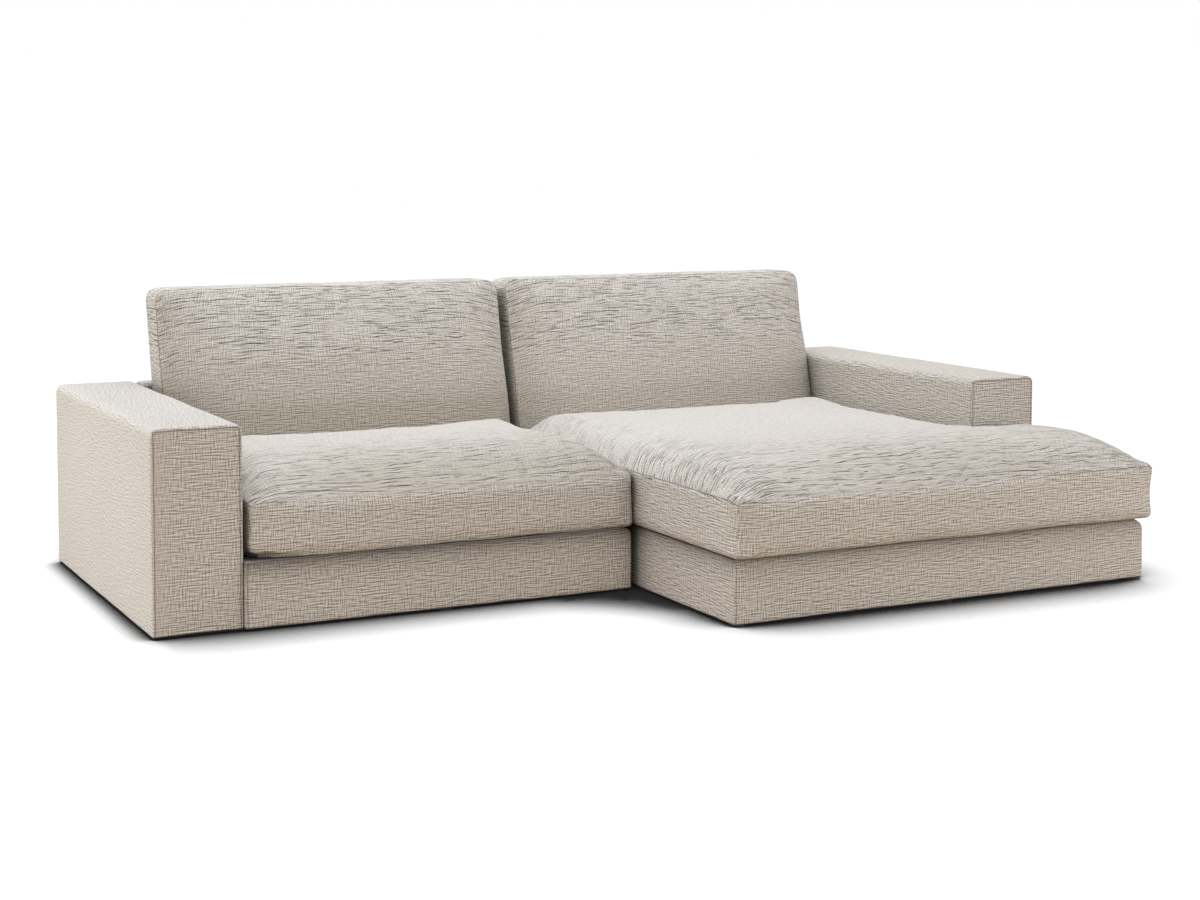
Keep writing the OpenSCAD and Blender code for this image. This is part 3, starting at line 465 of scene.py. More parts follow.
def rounded_frame(low, high, radius, foot, inset, step=0.012):
    """Points round a section with rounded corners, inset from its outline, anticlockwise from below."""
    w0, w1 = low[0] + inset, high[0] - inset
    h0, h1 = low[1] + inset, high[1] - inset
    room = max(min(w1 - w0, h1 - h0) / 2, 0.0)
    r = min(max(radius - inset, 0.001), room)
    f = min(max(foot - inset, 0.001), room)
    # Each corner is (its centre, its radius, the angle at which its arc starts)
    corners = [(w1 - f, h0 + f, f, -90), (w1 - r, h1 - r, r, 0)]
    corners += [(w0 + r, h1 - r, r, 90), (w0 + f, h0 + f, f, 180)]
    width = max(2, round((high[0] - low[0]) / step))
    height = max(2, round((high[1] - low[1]) / step))
    line = []
    for k, (cx, cy, size, start) in enumerate(corners):
        for i in range(7):
            a = math.radians(start + 15 * i)
            line.append((cx + size * math.cos(a), cy + size * math.sin(a)))
        count = height if k in (0, 2) else width
        a, b = line[-1], corners[(k + 1) % 4]
        turn = math.radians(b[3])
        b = (b[0] + b[2] * math.cos(turn), b[1] + b[2] * math.sin(turn))
        for i in range(1, count):
            line.append((a[0] + (b[0] - a[0]) * i / count, a[1] + (b[1] - a[1]) * i / count))
    return np.array(line)


def between(rows, flipped=False):
    """The faces between closed rows of points, all of one length."""
    size = len(rows[0])
    faces = []
    for i in range(len(rows) - 1):
        for j in range(size):
            k = (j + 1) % size
            quad = (i * size + j, i * size + k, (i + 1) * size + k, (i + 1) * size + j)
            faces.append(quad[::-1] if flipped else quad)
    return faces


def block(name, low, high, axis, radius, lip, step=0.014):
    """An upholstered block along X or Y, with a turned seam lip round its end panels."""
    other = 1 - axis
    length = high[axis] - low[axis]
    half = min(high[other] - low[other], high[2] - low[2]) / 2
    # Each station is (distance from the end, inset from the outline)
    panel = [(0.0, half), (0.0, half * 0.75), (0.0002, half * 0.5), (0.0006, half * 0.25), (0.001, 0.018)]
    seam = [(0.0010, 0.0112), (0.0021, 0.0092), (0.0010, 0.0076)]
    seam += [(0.0003, 0.0052), (0.0016, 0.0022), (0.0065, 0.0)]
    plain = [(0.0008, 0.010), (0.0015, 0.006), (0.003, 0.003), (0.006, 0.001), (0.011, 0.0)]
    edge = panel + (seam if lip else plain)
    middle = np.linspace(0.016, length - 0.016, max(3, round(length / step)))
    ends = [(length - d, inset) for d, inset in reversed(edge)]
    stations = edge + [(d, 0.0) for d in middle] + ends
    foot_radius = 0.006
    flat_low = (low[other], low[2])
    flat_high = (high[other], high[2])
    rows = []
    for distance, inset in stations:
        line = rounded_frame(flat_low, flat_high, radius, foot_radius, inset)
        row = np.empty((len(line), 3))
        row[:, other] = line[:, 0]
        row[:, 2] = line[:, 1]
        row[:, axis] = low[axis] + distance
        rows.append(row)
    return corner_mesh(name, np.concatenate(rows), between(rows, flipped=axis == 1))


def upholstered_block(name, axis, radius, lip, seed):
    low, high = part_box(name + "_cover")
    piece = block(name + "_upholstery", low, high, axis, radius, lip)

    def margins(at):
        """Distance from the nearer end panel, and in from the outline of the panels."""
        ends = np.minimum(at[:, axis] - low[axis], high[axis] - at[:, axis])
        rim = np.minimum(at[:, 1 - axis] - low[1 - axis], high[1 - axis] - at[:, 1 - axis])
        return ends, np.minimum(rim, high[2] - at[:, 2])

    # The cloth lies a little uneven over its foam, and is drawn tight at the seams
    at = coordinates(piece)
    ends, rim = margins(at)
    slack = np.clip(np.minimum(ends / 0.05, 1) + np.clip((rim - 0.012) / 0.05, 0, 1), 0, 1)
    uneven = ripple(at, 0.42, seed) * 0.0009 + ripple(at, 0.13, seed + 1) * 0.0004
    at = at + coordinates(piece, "normal") * (uneven * slack)[:, None]
    proud = 0.0004
    reshape(piece, np.clip(at, np.array(low) - proud, np.array(high) + proud))
    at = smoothed(piece)
    if lip:
        ends, rim = margins(at)
        mark(piece, "seam", np.where(ends < 0.007, np.abs(rim - 0.0088), 1.0))
        # The outer face of the left arm, where the side lamp washes it, has calmer yarns and calmer painted
        # yarn light and shade, and painted shade makes the inner faces and the right arm a little deeper
        left = high[0] < 0
        outer, inner = (low[0], high[0]) if left else (high[0], low[0])
        if left:
            mark(piece, "calm", np.clip(1.5 - np.abs(at[:, 0] - outer) / 0.045, 0, 1))
        level = 0.0 if left else 0.14
        mark(piece, "painted_tone", level + 0.16 * np.clip(1.3 - np.abs(at[:, 0] - inner) / 0.02, 0, 1))
    lay_cloth(piece)
    finish_piece(piece, "frame", name + "_cover")


arm_radius = 0.022
upholstered_block("left_arm", 1, arm_radius, True, 11)
upholstered_block("right_arm", 1, arm_radius, True, 23)

# Backs: low upright panels behind the loose back cushions, one on each section, between the arms.
# The same cloth is pulled over foam and board and stapled under the bottom rail.

back_radius = 0.018
upholstered_block("left_back", 0, back_radius, False, 31)
upholstered_block("right_back", 0, back_radius, False, 37)

# Bases: a band of cloth round the rails of each section, turned in over the top as far as the lining
# and hemmed under the bottom edge. The free end of each base has a well rounded top corner.


def plan_ring(plan, inset, radius=0.009, tight=0.002, step=0.016):
    """Points round a plan, anticlockwise and inset: outer corners are round, inner ones tight."""
    plan = [Vector(p) for p in plan]
    count = len(plan)
    line = []
    for i in range(count):
        before, here, after = plan[i - 1], plan[i], plan[(i + 1) % count]
        u = (here - before).normalized()
        v = (after - here).normalized()
        n, m = Vector((-u.y, u.x)), Vector((-v.y, v.x))
        corner = here + (n + m) * inset
        convex = n.dot(v) > 0
        r = max(radius - inset, tight) if convex else tight
        for k in range(5):
            t = math.radians(22.5 * k)
            line.append(corner + (v - u - v * math.cos(t) + u * math.sin(t)) * r)
        # The straight part up to the next corner
        then = plan[(i + 2) % count]
        w = (then - after).normalized()
        p = Vector((-w.y, w.x))
        far = after + (m + p) * inset
        next_r = max(radius - inset, tight) if m.dot(w) > 0 else tight
        a, b = corner + v * r, far - v * next_r
        number = max(2, round((after - here).length / step))
        for k in range(1, number):
            line.append(a + (b - a) * k / number)
    return np.array([(p.x, p.y) for p in line])


def edge_of(plan, at):
    """Distance of each place from the nearest side of a plan."""
    found = np.full(len(at), 9.0)
    for i, spot in enumerate(plan):
        before, here = np.array(plan[i - 1]), np.array(spot)
        way = (here - before) / np.linalg.norm(here - before)
        reach = np.clip((at[:, :2] - before) @ way, 0, np.linalg.norm(here - before))
        found = np.minimum(found, np.linalg.norm(at[:, :2] - before - reach[:, None] * way, axis=1))
    return found


def base_upholstery(name, plan, radius, painted_shade, seed):
    """A base's cloth, for a plan in metres whose right end has a rounded top corner."""
    low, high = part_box(name + "_cover")
    foot, head, end = low[2], high[2], high[0]
    foot_radius = 0.012
    turned_in = 0.11

    def top(x):
        over = np.clip(x - (end - radius), 0, radius)
        return head - radius + np.sqrt(np.maximum(radius**2 - over**2, 0))

    def bottom(x):
        over = np.clip(x - (end - foot_radius), 0, foot_radius)
        return foot + foot_radius - np.sqrt(np.maximum(foot_radius**2 - over**2, 0))

    # Each level is (inset from the plan, share of the way up the wall, drop below the top surface)
    levels = [(0.016, 0.0, None), (0.014, 0.0, None), (0.006, 0.0, None), (0.002, 0.008, None)]
    levels += [(0.0, share, None) for share in (0.03, *np.linspace(0.1, 0.93, 13))]
    levels += [(0.0, None, 0.005), (0.0009, None, 0.0014), (0.0045, None, 0.0002)]
    levels += [(d, None, 0.0) for d in (0.012, 0.02, 0.032, 0.05, 0.075, turned_in - 0.004)]
    levels += [(turned_in, None, 0.001), (turned_in + 0.0005, None, 0.0028)]
    rows = []
    for inset, share, drop in levels:
        line = plan_ring(plan, inset)
        z = top(line[:, 0]) - drop if drop is not None else None
        if share is not None:
            z = bottom(line[:, 0]) + (top(line[:, 0]) - bottom(line[:, 0]) - 0.008) * share
        rows.append(np.column_stack([line, z]))
    rows[0][:, 2] += 0.003
    piece = corner_mesh(name + "_upholstery", np.concatenate(rows), between(rows))
    at = coordinates(piece)
    uneven = ripple(at, 0.5, seed) * 0.0008 + ripple(at, 0.12, seed + 1) * 0.0005
    reshape(piece, at + coordinates(piece, "normal") * uneven[:, None])
    at = smoothed(piece)
    # A plain seam stands at each outer corner of the band
    seam = np.ones(len(at))
    for i, spot in enumerate(plan):
        before, after = Vector(plan[i - 1]), Vector(plan[(i + 1) % len(plan)])
        u, v = (Vector(spot) - before).normalized(), (after - Vector(spot)).normalized()
        if Vector((-u.y, u.x)).dot(v) > 0:
            along = (at[:, 0] - spot[0]) * v.x + (at[:, 1] - spot[1]) * v.y
            off = np.abs((at[:, 0] - spot[0]) * -v.y + (at[:, 1] - spot[1]) * v.x)
            near = (off < 0.012) & (at[:, 2] < top(at[:, 0]) - 0.004)
            seam = np.where(near, np.minimum(seam, np.abs(along - 0.007)), seam)
    mark(piece, "seam", seam)
    # Close under a cushion that is flush with it, the wall gets a painted shadow
    down = np.maximum(head - 0.004 - at[:, 2], 0)
    flush = np.where(at[:, 0] < low[0] + 0.004, 0.5, painted_shade)
    mark(piece, "under", flush * np.exp(-down / 0.03) * (edge_of(plan, at) < 0.004))
    lay_cloth(piece)
    finish_piece(piece, "frame", name + "_cover")


def base_outline(node, arm=None):
    """The corners of a base's plan, with the corner that an arm takes left out."""
    low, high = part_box(node)
    plan = [(low[0], low[1]), (high[0], low[1])]
    if arm is None:
        return plan + [(high[0], high[1]), (low[0], high[1])]
    x, y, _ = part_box(arm)[0]
    return plan + [(high[0], y), (x, y), (x, high[1]), (low[0], high[1])]


base_upholstery("seat_base", base_outline("seat_base_cover"), 0.028, 0.7, 41)
base_upholstery("chaise_base", base_outline("chaise_base_cover", "right_arm_cover"), 0.044, 0.05, 47)

# Seat cushion: a boxed cover of the same cloth, zipped at the rear, over a foam core. The top is
# fuller than the border, so the cloth creases along its weft and gathers at the side seams, and along
# the front the seam rolls under the crown.

seat_border = 0.158


def swelling(distance, reach):
    return np.sin(np.pi / 2 * np.clip(distance / reach, 0, 1)) ** 0.75


def stuffed_grid(plan, layers, step):
    """A closed box of near-square faces over a plan.

    Returns the plan places, the levels from 0 at the bottom to 1 at the top, and the faces.
    """
    notch = plan.notch

    def lines(low, high, cut):
        marks = [low, high] if cut is None else [low, cut, high]
        found = [low]
        for a, b in zip(marks, marks[1:]):
            found += list(np.linspace(a, b, max(2, round((b - a) / step)) + 1)[1:])
        return found

    xs = lines(*plan.x_range, notch and notch[0])
    ys = lines(*plan.y_range, notch and notch[1])

    def kept(i, j):
        if not (0 <= i < len(xs) - 1 and 0 <= j < len(ys) - 1):
            return False
        return notch is None or xs[i] < notch[0] - 1e-6 or ys[j] < notch[1] - 1e-6

    places, levels, faces, index = [], [], [], {}

    def point(i, j, k):
        if (i, j, k) not in index:
            index[i, j, k] = len(places)
            places.append((xs[i], ys[j]))
            levels.append(k / layers)
        return index[i, j, k]

    for i in range(len(xs) - 1):
        for j in range(len(ys) - 1):
            if not kept(i, j):
                continue
            around = [(i, j), (i + 1, j), (i + 1, j + 1), (i, j + 1)]
            faces.append([point(*c, layers) for c in around])
            faces.append([point(*c, 0) for c in reversed(around)])
            ways = [(0, -1), (1, 0), (0, 1), (-1, 0)]
            for a, b, (di, dj) in zip(around, around[1:] + around[:1], ways):
                if not kept(i + di, j + dj):
                    for k in range(layers):
                        faces.append([point(*a, k), point(*b, k), point(*b, k + 1), point(*a, k + 1)])
    return np.array(places), np.array(levels), faces


class Plan:
    """The outline of a cushion: a box that may lack the corner beyond notch."""

    def __init__(self, x_range, y_range, notch=None):
        self.x_range = x_range
        self.y_range = y_range
        self.notch = notch

    def sides(self, at):
        """Distance from the left, right, front, rear and, last, from the corner that is cut out."""
        x, y = at[:, 0], at[:, 1]
        found = [x - self.x_range[0], self.x_range[1] - x, y - self.y_range[0], self.y_range[1] - y]
        if self.notch:
            found.append(np.hypot(np.maximum(self.notch[0] - x, 0), np.maximum(self.notch[1] - y, 0)))
        return found

    def corners(self):
        (x0, x1), (y0, y1) = self.x_range, self.y_range
        if self.notch:
            return [(x0, y0), (x1, y0), (x1, self.notch[1]), (self.notch[0], y1), (x0, y1)]
        return [(x0, y0), (x1, y0), (x1, y1), (x0, y1)]

    def edge(self, at):
        """Distance from the nearest edge."""
        return np.min(np.stack(self.sides(at)), axis=0)

    def rounded(self, at, radii):
        """Moves places near the outer corners onto rounded ones."""
        at = at.copy()
        for (cx, cy), r in zip(self.corners(), radii):
            sx = 1 if cx == self.x_range[0] else -1
            sy = 1 if cy == self.y_range[0] else -1
            a = r - sx * (at[:, 0] - cx)
            b = r - sy * (at[:, 1] - cy)
            near = (a > 0) & (b > 0) & (a <= r + 1e-6) & (b <= r + 1e-6)
            scale = np.where(near, np.maximum(a, b) / np.maximum(np.hypot(a, b), 1e-9), 1.0)
            at[:, 0] = np.where(near, cx + sx * (r - a * scale), at[:, 0])
            at[:, 1] = np.where(near, cy + sy * (r - b * scale), at[:, 1])
        return at


def puffed(piece, held, pressure=1.5, spare=0.012, cap=0.009, steps=20):
    """Fills a cover with the cloth solver: held points stay, the others swell by up to cap."""
    start = coordinates(piece)
    group = piece.vertex_groups.new(name="held")
    for weight in np.unique(held[held > 0]):
        group.add([int(i) for i in np.flatnonzero(held == weight)], float(weight), "REPLACE")
    cloth = piece.modifiers.new("cloth", "CLOTH")
    settings = cloth.settings
    settings.quality = 6
    settings.mass = 0.3
    settings.tension_stiffness = 12
    settings.compression_stiffness = 8
    settings.shear_stiffness = 4
    settings.bending_stiffness = 0.15
    settings.use_pressure = True
    settings.uniform_pressure_force = pressure
    settings.shrink_min = -spare
    settings.vertex_group_mass = "held"
    settings.effector_weights.gravity = 0
    cloth.collision_settings.use_collision = False
    scene = bpy.context.scene
    cloth.point_cache.frame_start = 1
    cloth.point_cache.frame_end = steps
    for frame_number in range(1, steps + 1):
        scene.frame_set(frame_number)
        bpy.context.view_layer.update()
    graph = bpy.context.evaluated_depsgraph_get()
    moved = coordinates(piece.evaluated_get(graph)) - start
    piece.modifiers.clear()
    piece.vertex_groups.clear()
    scene.frame_set(1)
    far = np.linalg.norm(moved, axis=1, keepdims=True)
    moved = moved * (cap * np.tanh(far / cap) / np.maximum(far, 1e-9))
    return start + moved


def eased(piece, points, weight, passes):
    """Points drawn towards the mean of their neighbours, by weight in each pass."""
    ends = np.empty(len(piece.data.edges) * 2, dtype=np.int64)
    piece.data.edges.foreach_get("vertices", ends)
    a, b = ends.reshape(-1, 2).T
    count = np.bincount(ends, minlength=len(points))[:, None]
    for _ in range(passes):
        total = np.zeros_like(points)
        np.add.at(total, a, points[b])
        np.add.at(total, b, points[a])
        points = points + (total / count - points) * weight[:, None]
    return points


def inward_way(plan, places):
    """The unit way from each place straight in from the nearest edge."""
    sides = np.stack(plan.sides(places)[:4])
    ways = np.array([(1.0, 0.0), (-1.0, 0.0), (0.0, 1.0), (0.0, -1.0)])
    if plan.notch:
        beside = np.where(places[:, 1] > plan.notch[1] - 1e-6, plan.notch[0] - places[:, 0], 9.0)
        behind = np.where(places[:, 0] > plan.notch[0] - 1e-6, plan.notch[1] - places[:, 1], 9.0)
        sides = np.vstack([sides, np.abs(beside), np.abs(behind)])
        ways = np.vstack([ways, [(-1.0, 0.0), (0.0, -1.0)]])
    near = np.maximum(0.03 - sides, 0.0) ** 2
    total = near.T @ ways
    size = np.linalg.norm(total, axis=1, keepdims=True)
    return total / np.maximum(size, 1e-9)


def gathered(at, x_range, seam_level, reach):
    """How far the weft is drawn forward as it comes down over the crown to a side seam."""
    near = np.minimum(at[:, 0] - x_range[0], x_range[1] - at[:, 0])
    way = np.maximum(near, 0) + np.maximum(at[:, 2] - seam_level, 0)
    return 0.8 * reach * np.exp(-way / reach)


def seat_cushion(name, plan, crown, radii, hiding, reach, shade_deepening, spare, seed, step=0.0105, soft_foot=None):
    """A seat cushion that lies flat: bottom, border and crowned top.

    The top is gathered within reach of a side seam, and its front is darkened with painted shade.
    """
    low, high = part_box(name + "_cover")
    layers = max(4, round(seat_border / step))
    places, levels, faces = stuffed_grid(plan, layers, step)
    on_top = np.isclose(levels, 1.0)
    under = np.isclose(levels, 0.0)
    edge = plan.edge(places)
    left, right, ahead, *others = plan.sides(places)
    dome = swelling(ahead, 0.29)
    for distance in (left, right, *others):
        dome = dome * swelling(distance, 0.11)
    at = plan.rounded(places, radii)
    rise = np.where(on_top, seat_border + crown * dome, seat_border * levels)
    # The border is drawn in between its seams, and its foot is rounded
    soft = soft_foot(places) if soft_foot else np.zeros(len(places))
    foot = 0.006 + soft
    turn = np.clip(1 - rise / foot, 0, 1)
    draw = np.where(on_top | under, 0.0, 0.004 * np.sin(np.pi * levels))
    draw = draw + foot * (1 - np.sqrt(1 - turn**2)) * 0.9
    draw = np.where(under, np.maximum(0, foot - edge) * 0.9, draw)
    at = at + inward_way(plan, places) * draw[:, None]
    turn = 1 - np.clip(edge / foot, 0, 1)
    lift = np.where(under, foot * (1 - np.sqrt(np.clip(1 - turn**2, 0, 1))), 0.0)
    lift = lift + soft * 0.15 * (1 - levels) ** 2
    # The seams pull the upper corners down, and the cloth hardly moves there
    corner = np.min([np.hypot(places[:, 0] - x, places[:, 1] - y) for x, y in plan.corners()], axis=0)
    lift = lift - 0.009 * np.exp(-((corner / 0.018) ** 2)) * levels**4
    piece = corner_mesh(name, np.column_stack([at, low[2] + rise + lift]), faces)
    held = np.where(under & (edge > 0.05), 1.0, np.where(under, 0.7, 0.0))
    held = np.where(on_top & (edge < 1e-4), 0.85, held)
    held = np.maximum(held, np.where(corner < 0.018, 0.9, np.where(corner < 0.036, 0.6, 0.0)))
    reshape(piece, puffed(piece, held))
    at = coordinates(piece)
    # Where the front seam is hidden, the top rolls over into the border
    hidden = hiding(left, right, ahead)
    at = eased(piece, at, hidden * (levels > 0.6) * np.exp(-((ahead / 0.035) ** 2)) * 0.6, 8)
    # The cushion lies flat on the lining and keeps clear of its neighbours
    at[:, 0] = np.clip(at[:, 0], low[0] - 0.001, high[0] + spare)
    at[:, 1] = np.clip(at[:, 1], low[1] - 0.006, high[1] + 0.0005)
    at[:, 2] = np.maximum(at[:, 2], low[2])
    reshape(piece, at)
    lump = ripple(at, 0.34, seed) * 0.0022 + ripple(at, 0.15, seed + 1) * 0.0012
    free = np.where(under, 0.0, np.clip(levels * 3, 0, 1))
    at = at + coordinates(piece, "normal") * (lump * free)[:, None]
    # The lower front edge wavers
    front = np.exp(-((ahead / 0.02) ** 2)) * np.exp(-((levels * seat_border / 0.05) ** 2))
    at[:, 2] += front * np.maximum(ripple(at * [1, 0, 0], 0.3, seed + 3), 0) * 0.0035
    reshape(piece, at)
    # The crown is smooth at the rear and creases where it rolls to the front; painted light makes it pale at
    # the rear and painted shade deepens it towards the front
    beside = np.exp(-((np.minimum(left, right) / (reach * 1.3)) ** 2))
    worked = np.interp(ahead, [0.0, 0.02, 0.3, 0.45, 0.65], [0.4, 1.0, 1.0, 0.4, 0.08])
    pulled = 0.1 + 1.9 * beside * np.interp(ahead, [0.5, 0.75], [1.0, 0.35])
    mark(piece, "crinkle", np.where(on_top, pulled, 0.1 * levels))
    mark(piece, "broad", np.where(on_top, 0.95 * (1 - beside) * worked, 0.0))
    mark(piece, "calm", np.where(on_top, 1 - worked, 0.0))
    deep = shade_deepening * np.exp(-((ahead / 0.26) ** 2.5)) * np.interp(ahead, [0.0, 0.05], [0.65, 1.0])
    deep = deep * (1 - 0.85 * np.exp(-((left / (reach * 3)) ** 2)))
    # Painted light makes the chaise cushion paler at its open right end, and the seat cushion beside the arm,
    # where its painted shadow is lessened too
    open_end = np.exp(-((right / 0.3) ** 2)) if plan.notch else 0.0
    beside_arm = 0.0 if plan.notch else np.exp(-((left / 0.12) ** 2))
    deep = deep * (1 - 0.7 * open_end) - 0.126 * beside_arm
    # Painted light also makes the rear of each crown paler, and the left wall of each cushion
    rear = 0.16 * np.clip((ahead - 0.35) / 0.4, 0, 1)
    wall = np.where(left < 0.01, -0.18, 0.0)
    mark(piece, "painted_tone", np.where(on_top, deep - rear, wall))
    mark(piece, "under", np.where(on_top, -0.084 * beside_arm, 0.0))
    rise = np.maximum(at[:, 2] - low[2] - seat_border, 0)
    crowned(piece, on_top, at, rise, plan)
    seam = np.where(on_top, edge, seat_border - levels * seat_border)
    mark(piece, "seam", np.minimum(seam + hidden, 1.0))
    mark(piece, "roll", np.where(on_top, ahead, 1.0))
    at = smoothed(piece)
    lay_cloth(piece, gathered(at, plan.x_range, low[2] + seat_border, reach))
    finish_piece(piece, name, name + "_cover")


low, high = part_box("seat_cushion_cover")
seat_plan = Plan((low[0], high[0]), (low[1], high[1]))
seat_radii = (0.024, 0.02, 0.02, 0.02)


def seat_foot(places):
    """The lower front corner beside the arm is the most rounded one."""
    left = np.hypot(places[:, 0] - seat_plan.x_range[0], places[:, 1] - seat_plan.y_range[0])
    return 0.042 * np.exp(-((left / 0.075) ** 2))


def seat_hiding(left, right, ahead):
    """The front seam shows at the left and then hides under the crown."""
    return np.where(ahead < 0.03, np.clip((left - 0.09) / 0.05, 0, 1), 0.0)


seat_cushion(
    "seat_cushion", seat_plan, 0.074, seat_radii, seat_hiding, 0.07, 0.52, 0.001, 53, soft_foot=seat_foot
)

# Chaise cushion: made like the seat cushion, but it runs forward past the seat and widens in front of
# the right arm, so its plan is an L. Its front seam shows at both ends, and furthest at the right.

low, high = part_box("chaise_cushion_cover")
arm_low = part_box("right_arm_cover")[0]
arm_gap = 0.004
notch = (arm_low[0] - arm_gap, arm_low[1] - arm_gap)
chaise_plan = Plan((low[0], high[0]), (low[1], high[1]), notch)
chaise_radii = (0.028, 0.03, 0.02, 0.02, 0.02)


def chaise_hiding(left, right, ahead):
    return np.where(ahead < 0.03, np.clip(np.minimum(left - 0.04, right - 0.42) / 0.1, 0, 1), 0.0)


seat_cushion("chaise_cushion", chaise_plan, 0.076, chaise_radii, chaise_hiding, 0.13, 0.40, 0.008, 61, 0.0115)

# Back cushions: two boxed cushions that stand on the lining and lean on the backs. The front is the
# fullest face, crinkled along the weft over its upper half, and pulled down beside its seams.

back_border = 0.12
back_lean = math.tan(math.radians(14))
rear_crown = 0.012


def back_cushion(name, foot, shade_deepening, seed, step=0.0105):
    """A back cushion whose rear face meets the lining at Y = foot."""
    low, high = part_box(name + "_cover")
    height = high[2] - low[2]
    outline = Plan((low[0], high[0]), (0.0, height))
    layers = max(4, round(back_border / step))
    places, levels, faces = stuffed_grid(outline, layers, step)
    front = np.isclose(levels, 1.0)
    rear = np.isclose(levels, 0.0)
    # The cushion swells as if it went on a little below the lining, which presses its foot flat
    plan = Plan(outline.x_range, (-0.03, height))
    edge = plan.edge(places)
    sides = plan.sides(places)
    left, right, up, _ = sides
    dome = np.ones(len(places))
    for distance in sides:
        dome = dome * swelling(distance, 0.26)
    at = outline.rounded(places, (0.012, 0.012, 0.034, 0.034))
    thick = np.where(rear, -rear_crown * dome, back_border * levels)
    thick = np.where(front, back_border + 0.045 * dome, thick)
    draw = np.where(front | rear, 0.0, 0.004 * np.sin(np.pi * levels))
    at = at + inward_way(plan, places) * draw[:, None]
    at[:, 1] = np.maximum(at[:, 1], 0.0)
    # Flat on its back while it is filled: X along the sofa, Y up the cushion, Z out of its front
    piece = corner_mesh(name, np.column_stack([at, thick]), faces)
    held = np.where(rear & (edge > 0.04), 1.0, 0.0)
    held = np.where(places[:, 1] < 1e-4, 1.0, held)
    held = np.where((front | rear) & (edge < 1e-4), 0.75, held)
    at = puffed(piece, held)
    spare = 0.001
    at[:, 0] = np.clip(at[:, 0], low[0] - spare, high[0] + spare)
    at[:, 1] = np.clip(at[:, 1], 0.0, height + 0.004)
    at[:, 2] = np.maximum(at[:, 2], np.where(rear, -rear_crown * dome, -0.004))
    reshape(piece, at)
    lump = ripple(at, 0.36, seed) * 0.0025 + ripple(at, 0.16, seed + 1) * 0.0012
    free = np.clip(levels * 2, 0, 1) * np.clip(places[:, 1] / 0.05, 0, 1)
    at = at + coordinates(piece, "normal") * (lump * free)[:, None]
    at[:, 0] = np.clip(at[:, 0], low[0] - spare, high[0] + spare)
    # Painted shade makes the cloth deeper and warmer low down, where the seat's crown shades it, and at the
    # left and on the side walls; painted light makes it paler near the top
    share = places[:, 1] / height
    mark(piece, "crinkle", np.clip((share - 0.54) / 0.2, 0.06, 1) * 1.2)
    mark(piece, "calm", np.full(len(places), 0.35))
    shares = [0.42, 0.48, 0.56, 0.68, 0.78, 0.88, 0.95]
    deep = np.interp(share, shares, [0.75, 0.5, 0.36, 0.2, 0.13, 0.06, -0.12])
    deep = deep + 0.3 * np.exp(-((left / 0.12) ** 2))
    wall = np.where(np.minimum(left, right) < 0.004, 0.28, 0.0)
    mark(piece, "painted_tone", np.where(front, np.where(deep > 0, deep * shade_deepening, deep), wall))
    rise = levels * back_border
    seam = np.where(front | rear, edge, np.minimum(np.abs(back_border - rise), rise))
    mark(piece, "seam", np.where(up < 0.06, 1.0, seam))
    crowned(piece, front, at, at[:, 2], outline)
    # Stood up, leant back, and set down with its rear on the back's top edge
    reshape(piece, np.column_stack([at[:, 0], foot + back_lean * at[:, 1] - at[:, 2], low[2] + at[:, 1]]))
    at = smoothed(piece)
    nearest = np.minimum(at[:, 0] - low[0], high[0] - at[:, 0])
    lay_cloth(piece, 0.04 * np.exp(-np.maximum(nearest, 0) / 0.085))
    finish_piece(piece, name, name + "_cover")


panel_low, panel_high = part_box("left_back_cover")
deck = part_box("seat_base_cover")[1][2]
clearance = 0.0003
foot = panel_low[1] - clearance - rear_crown - back_lean * (panel_high[2] - deck)
back_cushion("left_back_cushion", foot, 1.0, 71)
back_cushion("right_back_cushion", foot, 0.65, 79)

# Zips: nylon coil zips let into the rear borders of the seat cushions and the undersides of the back
# cushions. The tape is dyed close to the cloth, and the coil's teeth make a fine rib across it.

coil = Finish("zip_coil", Roughness=0.55)
teeth = (coil.node("SeparateXYZ", {}, [coil.place]) * 2200.0).math("SINE") * 0.5 + 0.5
tape = coil.cloud(300.0)
coil.colour(coil.mix(teeth * 0.7 + tape * 0.3, (0.20, 0.175, 0.145), (0.36, 0.32, 0.27)))
coil.roughness(teeth * 0.2 + 0.42)
coil.relief(teeth, 0.6)
coil.cover("_zip")

# Studio: a white floor that keeps the soft shadow along the sofa's foot, even light all round, a
# broad lamp overhead and small low ones at the front and the left. To the sofa the floor is duller
# and warmer than it looks.


def seen_directly(finish):
    """1 for the camera, a mirror or glass that looks at the surface, and 0 for what it lights."""
    rays = [finish.node("LightPath", {}, {}, output) for output in (0, 3, 6)]
    return (rays[0] + rays[1] + rays[2]).within()


sweep = bpy.data.meshes.new("studio_floor")
sweep.from_pydata([(-40, -40, 0), (40, -40, 0), (40, 40, 0), (-40, 40, 0)], [], [(0, 1, 2, 3)])
floor = bpy.data.objects.new("studio_floor", sweep)
bpy.context.scene.collection.objects.link(floor)
paper = Finish("white_paper", Roughness=1.0, Specular_IOR_Level=0.0)
looked_at = seen_directly(paper)
across = paper.node("SeparateXYZ", {}, [paper.place])
fibre = paper.cloud(60.0)
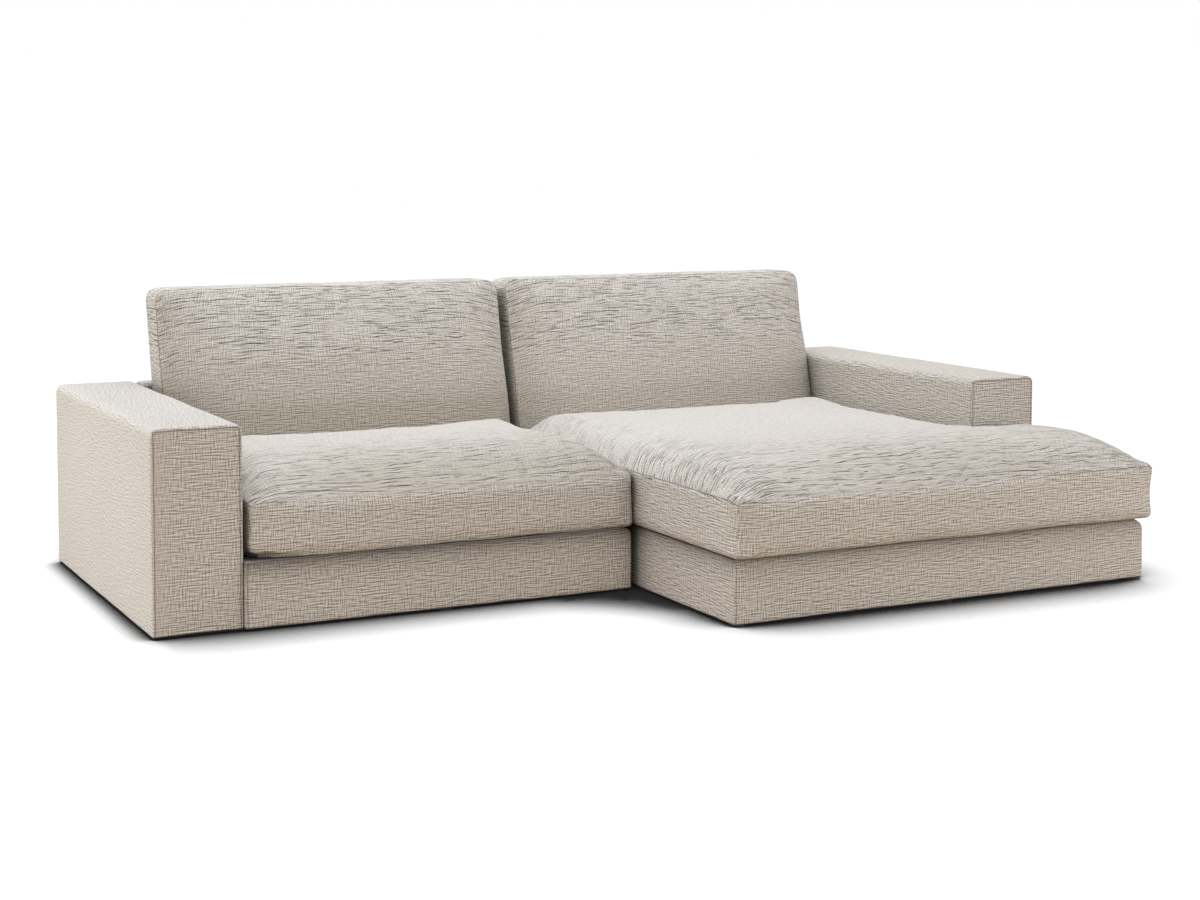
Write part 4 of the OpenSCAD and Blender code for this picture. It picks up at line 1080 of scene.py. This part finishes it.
# The shadow is wide under the sofa, and narrow and soft beyond its left end
wide = paper.node("AmbientOcclusion", {"samples": 16}, {"Distance": 0.36}, 1)
tight = paper.node("AmbientOcclusion", {"samples": 16}, {"Distance": 0.09}, 1)
inside = ((across + 1.49) * 14.0).within()
near = wide * inside + tight * (1.0 - inside)
softer = ((across + 1.45) * 1.2).within()
open_sky = 1.0 - (1.0 - ((near - 0.5) * 2.0).within()) ** (softer * 1.1 + 1.3)
warm = paper.mix(fibre * 0.1, (0.53, 0.415, 0.295), (0.55, 0.435, 0.315))
white = paper.mix(open_sky, (0.05, 0.05, 0.05), (0.97, 0.97, 0.97))
paper.colour(paper.mix(looked_at, warm, white))
glow = paper.mix(open_sky, (0.01, 0.01, 0.01), (1.0, 1.0, 1.0))
lit = paper.node("Emission", {}, {"Color": glow, "Strength": 1.6})
lain = Number(paper, paper.shader.outputs[0])
both = paper.node("MixShader", {}, {0: looked_at * 0.34, 1: lain, 2: lit})
paper.tree.links.new(both.socket, paper.tree.nodes["Material Output"].inputs["Surface"])
floor.data.materials.append(paper.material)


class Surroundings(Finish):
    """The world round the sofa, built from the same nodes as a finish."""

    def __init__(self, name):
        world = bpy.data.worlds.new(name)
        bpy.context.scene.world = world
        world.use_nodes = True
        self.tree = world.node_tree
        self.tree.nodes.clear()


room = Surroundings("studio")
even = room.node("Background", {}, {"Color": (1.0, 1.0, 1.0), "Strength": 0.76})
backdrop = room.node("Background", {}, {"Color": (1.0, 1.0, 1.0), "Strength": 1.0})
shown = room.node("MixShader", {}, {0: seen_directly(room), 1: even, 2: backdrop})
sky = room.tree.nodes.new("ShaderNodeOutputWorld")
room.tree.links.new(shown.socket, sky.inputs["Surface"])


def softbox(name, place, aim, width, height, power, tint):
    lamp = bpy.data.lights.new(name, "AREA")
    lamp.shape = "RECTANGLE"
    lamp.size = width
    lamp.size_y = height
    lamp.energy = power
    lamp.color = tint
    made = bpy.data.objects.new(name, lamp)
    made.location = place
    made.rotation_euler = (Vector(aim) - Vector(place)).to_track_quat("-Z", "Y").to_euler()
    bpy.context.scene.collection.objects.link(made)


softbox("overhead", (-0.3, 1.1, 4.0), (-0.1, 0.3, 0.3), 5.0, 4.0, 104.0, (0.86, 0.91, 1.0))
softbox("front", (2.9, -2.7, 0.5), (1.0, -0.86, 0.22), 0.9, 0.7, 9.0, (1.0, 1.0, 1.0))
softbox("side", (-3.4, 0.3, 0.5), (-1.4, 0.3, 0.3), 1.6, 0.7, 18.0, (0.84, 0.93, 1.0))

# Camera: in front and to the left, at a sitting eye's height, matched to the photograph's view. Part
# of the framing is a small downward tilt and part is lens shift.

lens = bpy.data.cameras.new("camera")
lens.sensor_width = 36.0
lens.lens = 59.827
lens.shift_x = 0.0283
lens.shift_y = -0.138
lens.clip_end = 100.0
camera = bpy.data.objects.new("camera", lens)
camera.location = (-2.756, -5.398, 1.2676)
camera.rotation_euler = (math.radians(90 - 3.649), 0.0, math.radians(-26.216))
bpy.context.scene.collection.objects.link(camera)
bpy.context.scene.camera = camera
bpy.context.scene.view_settings.view_transform = "Standard"
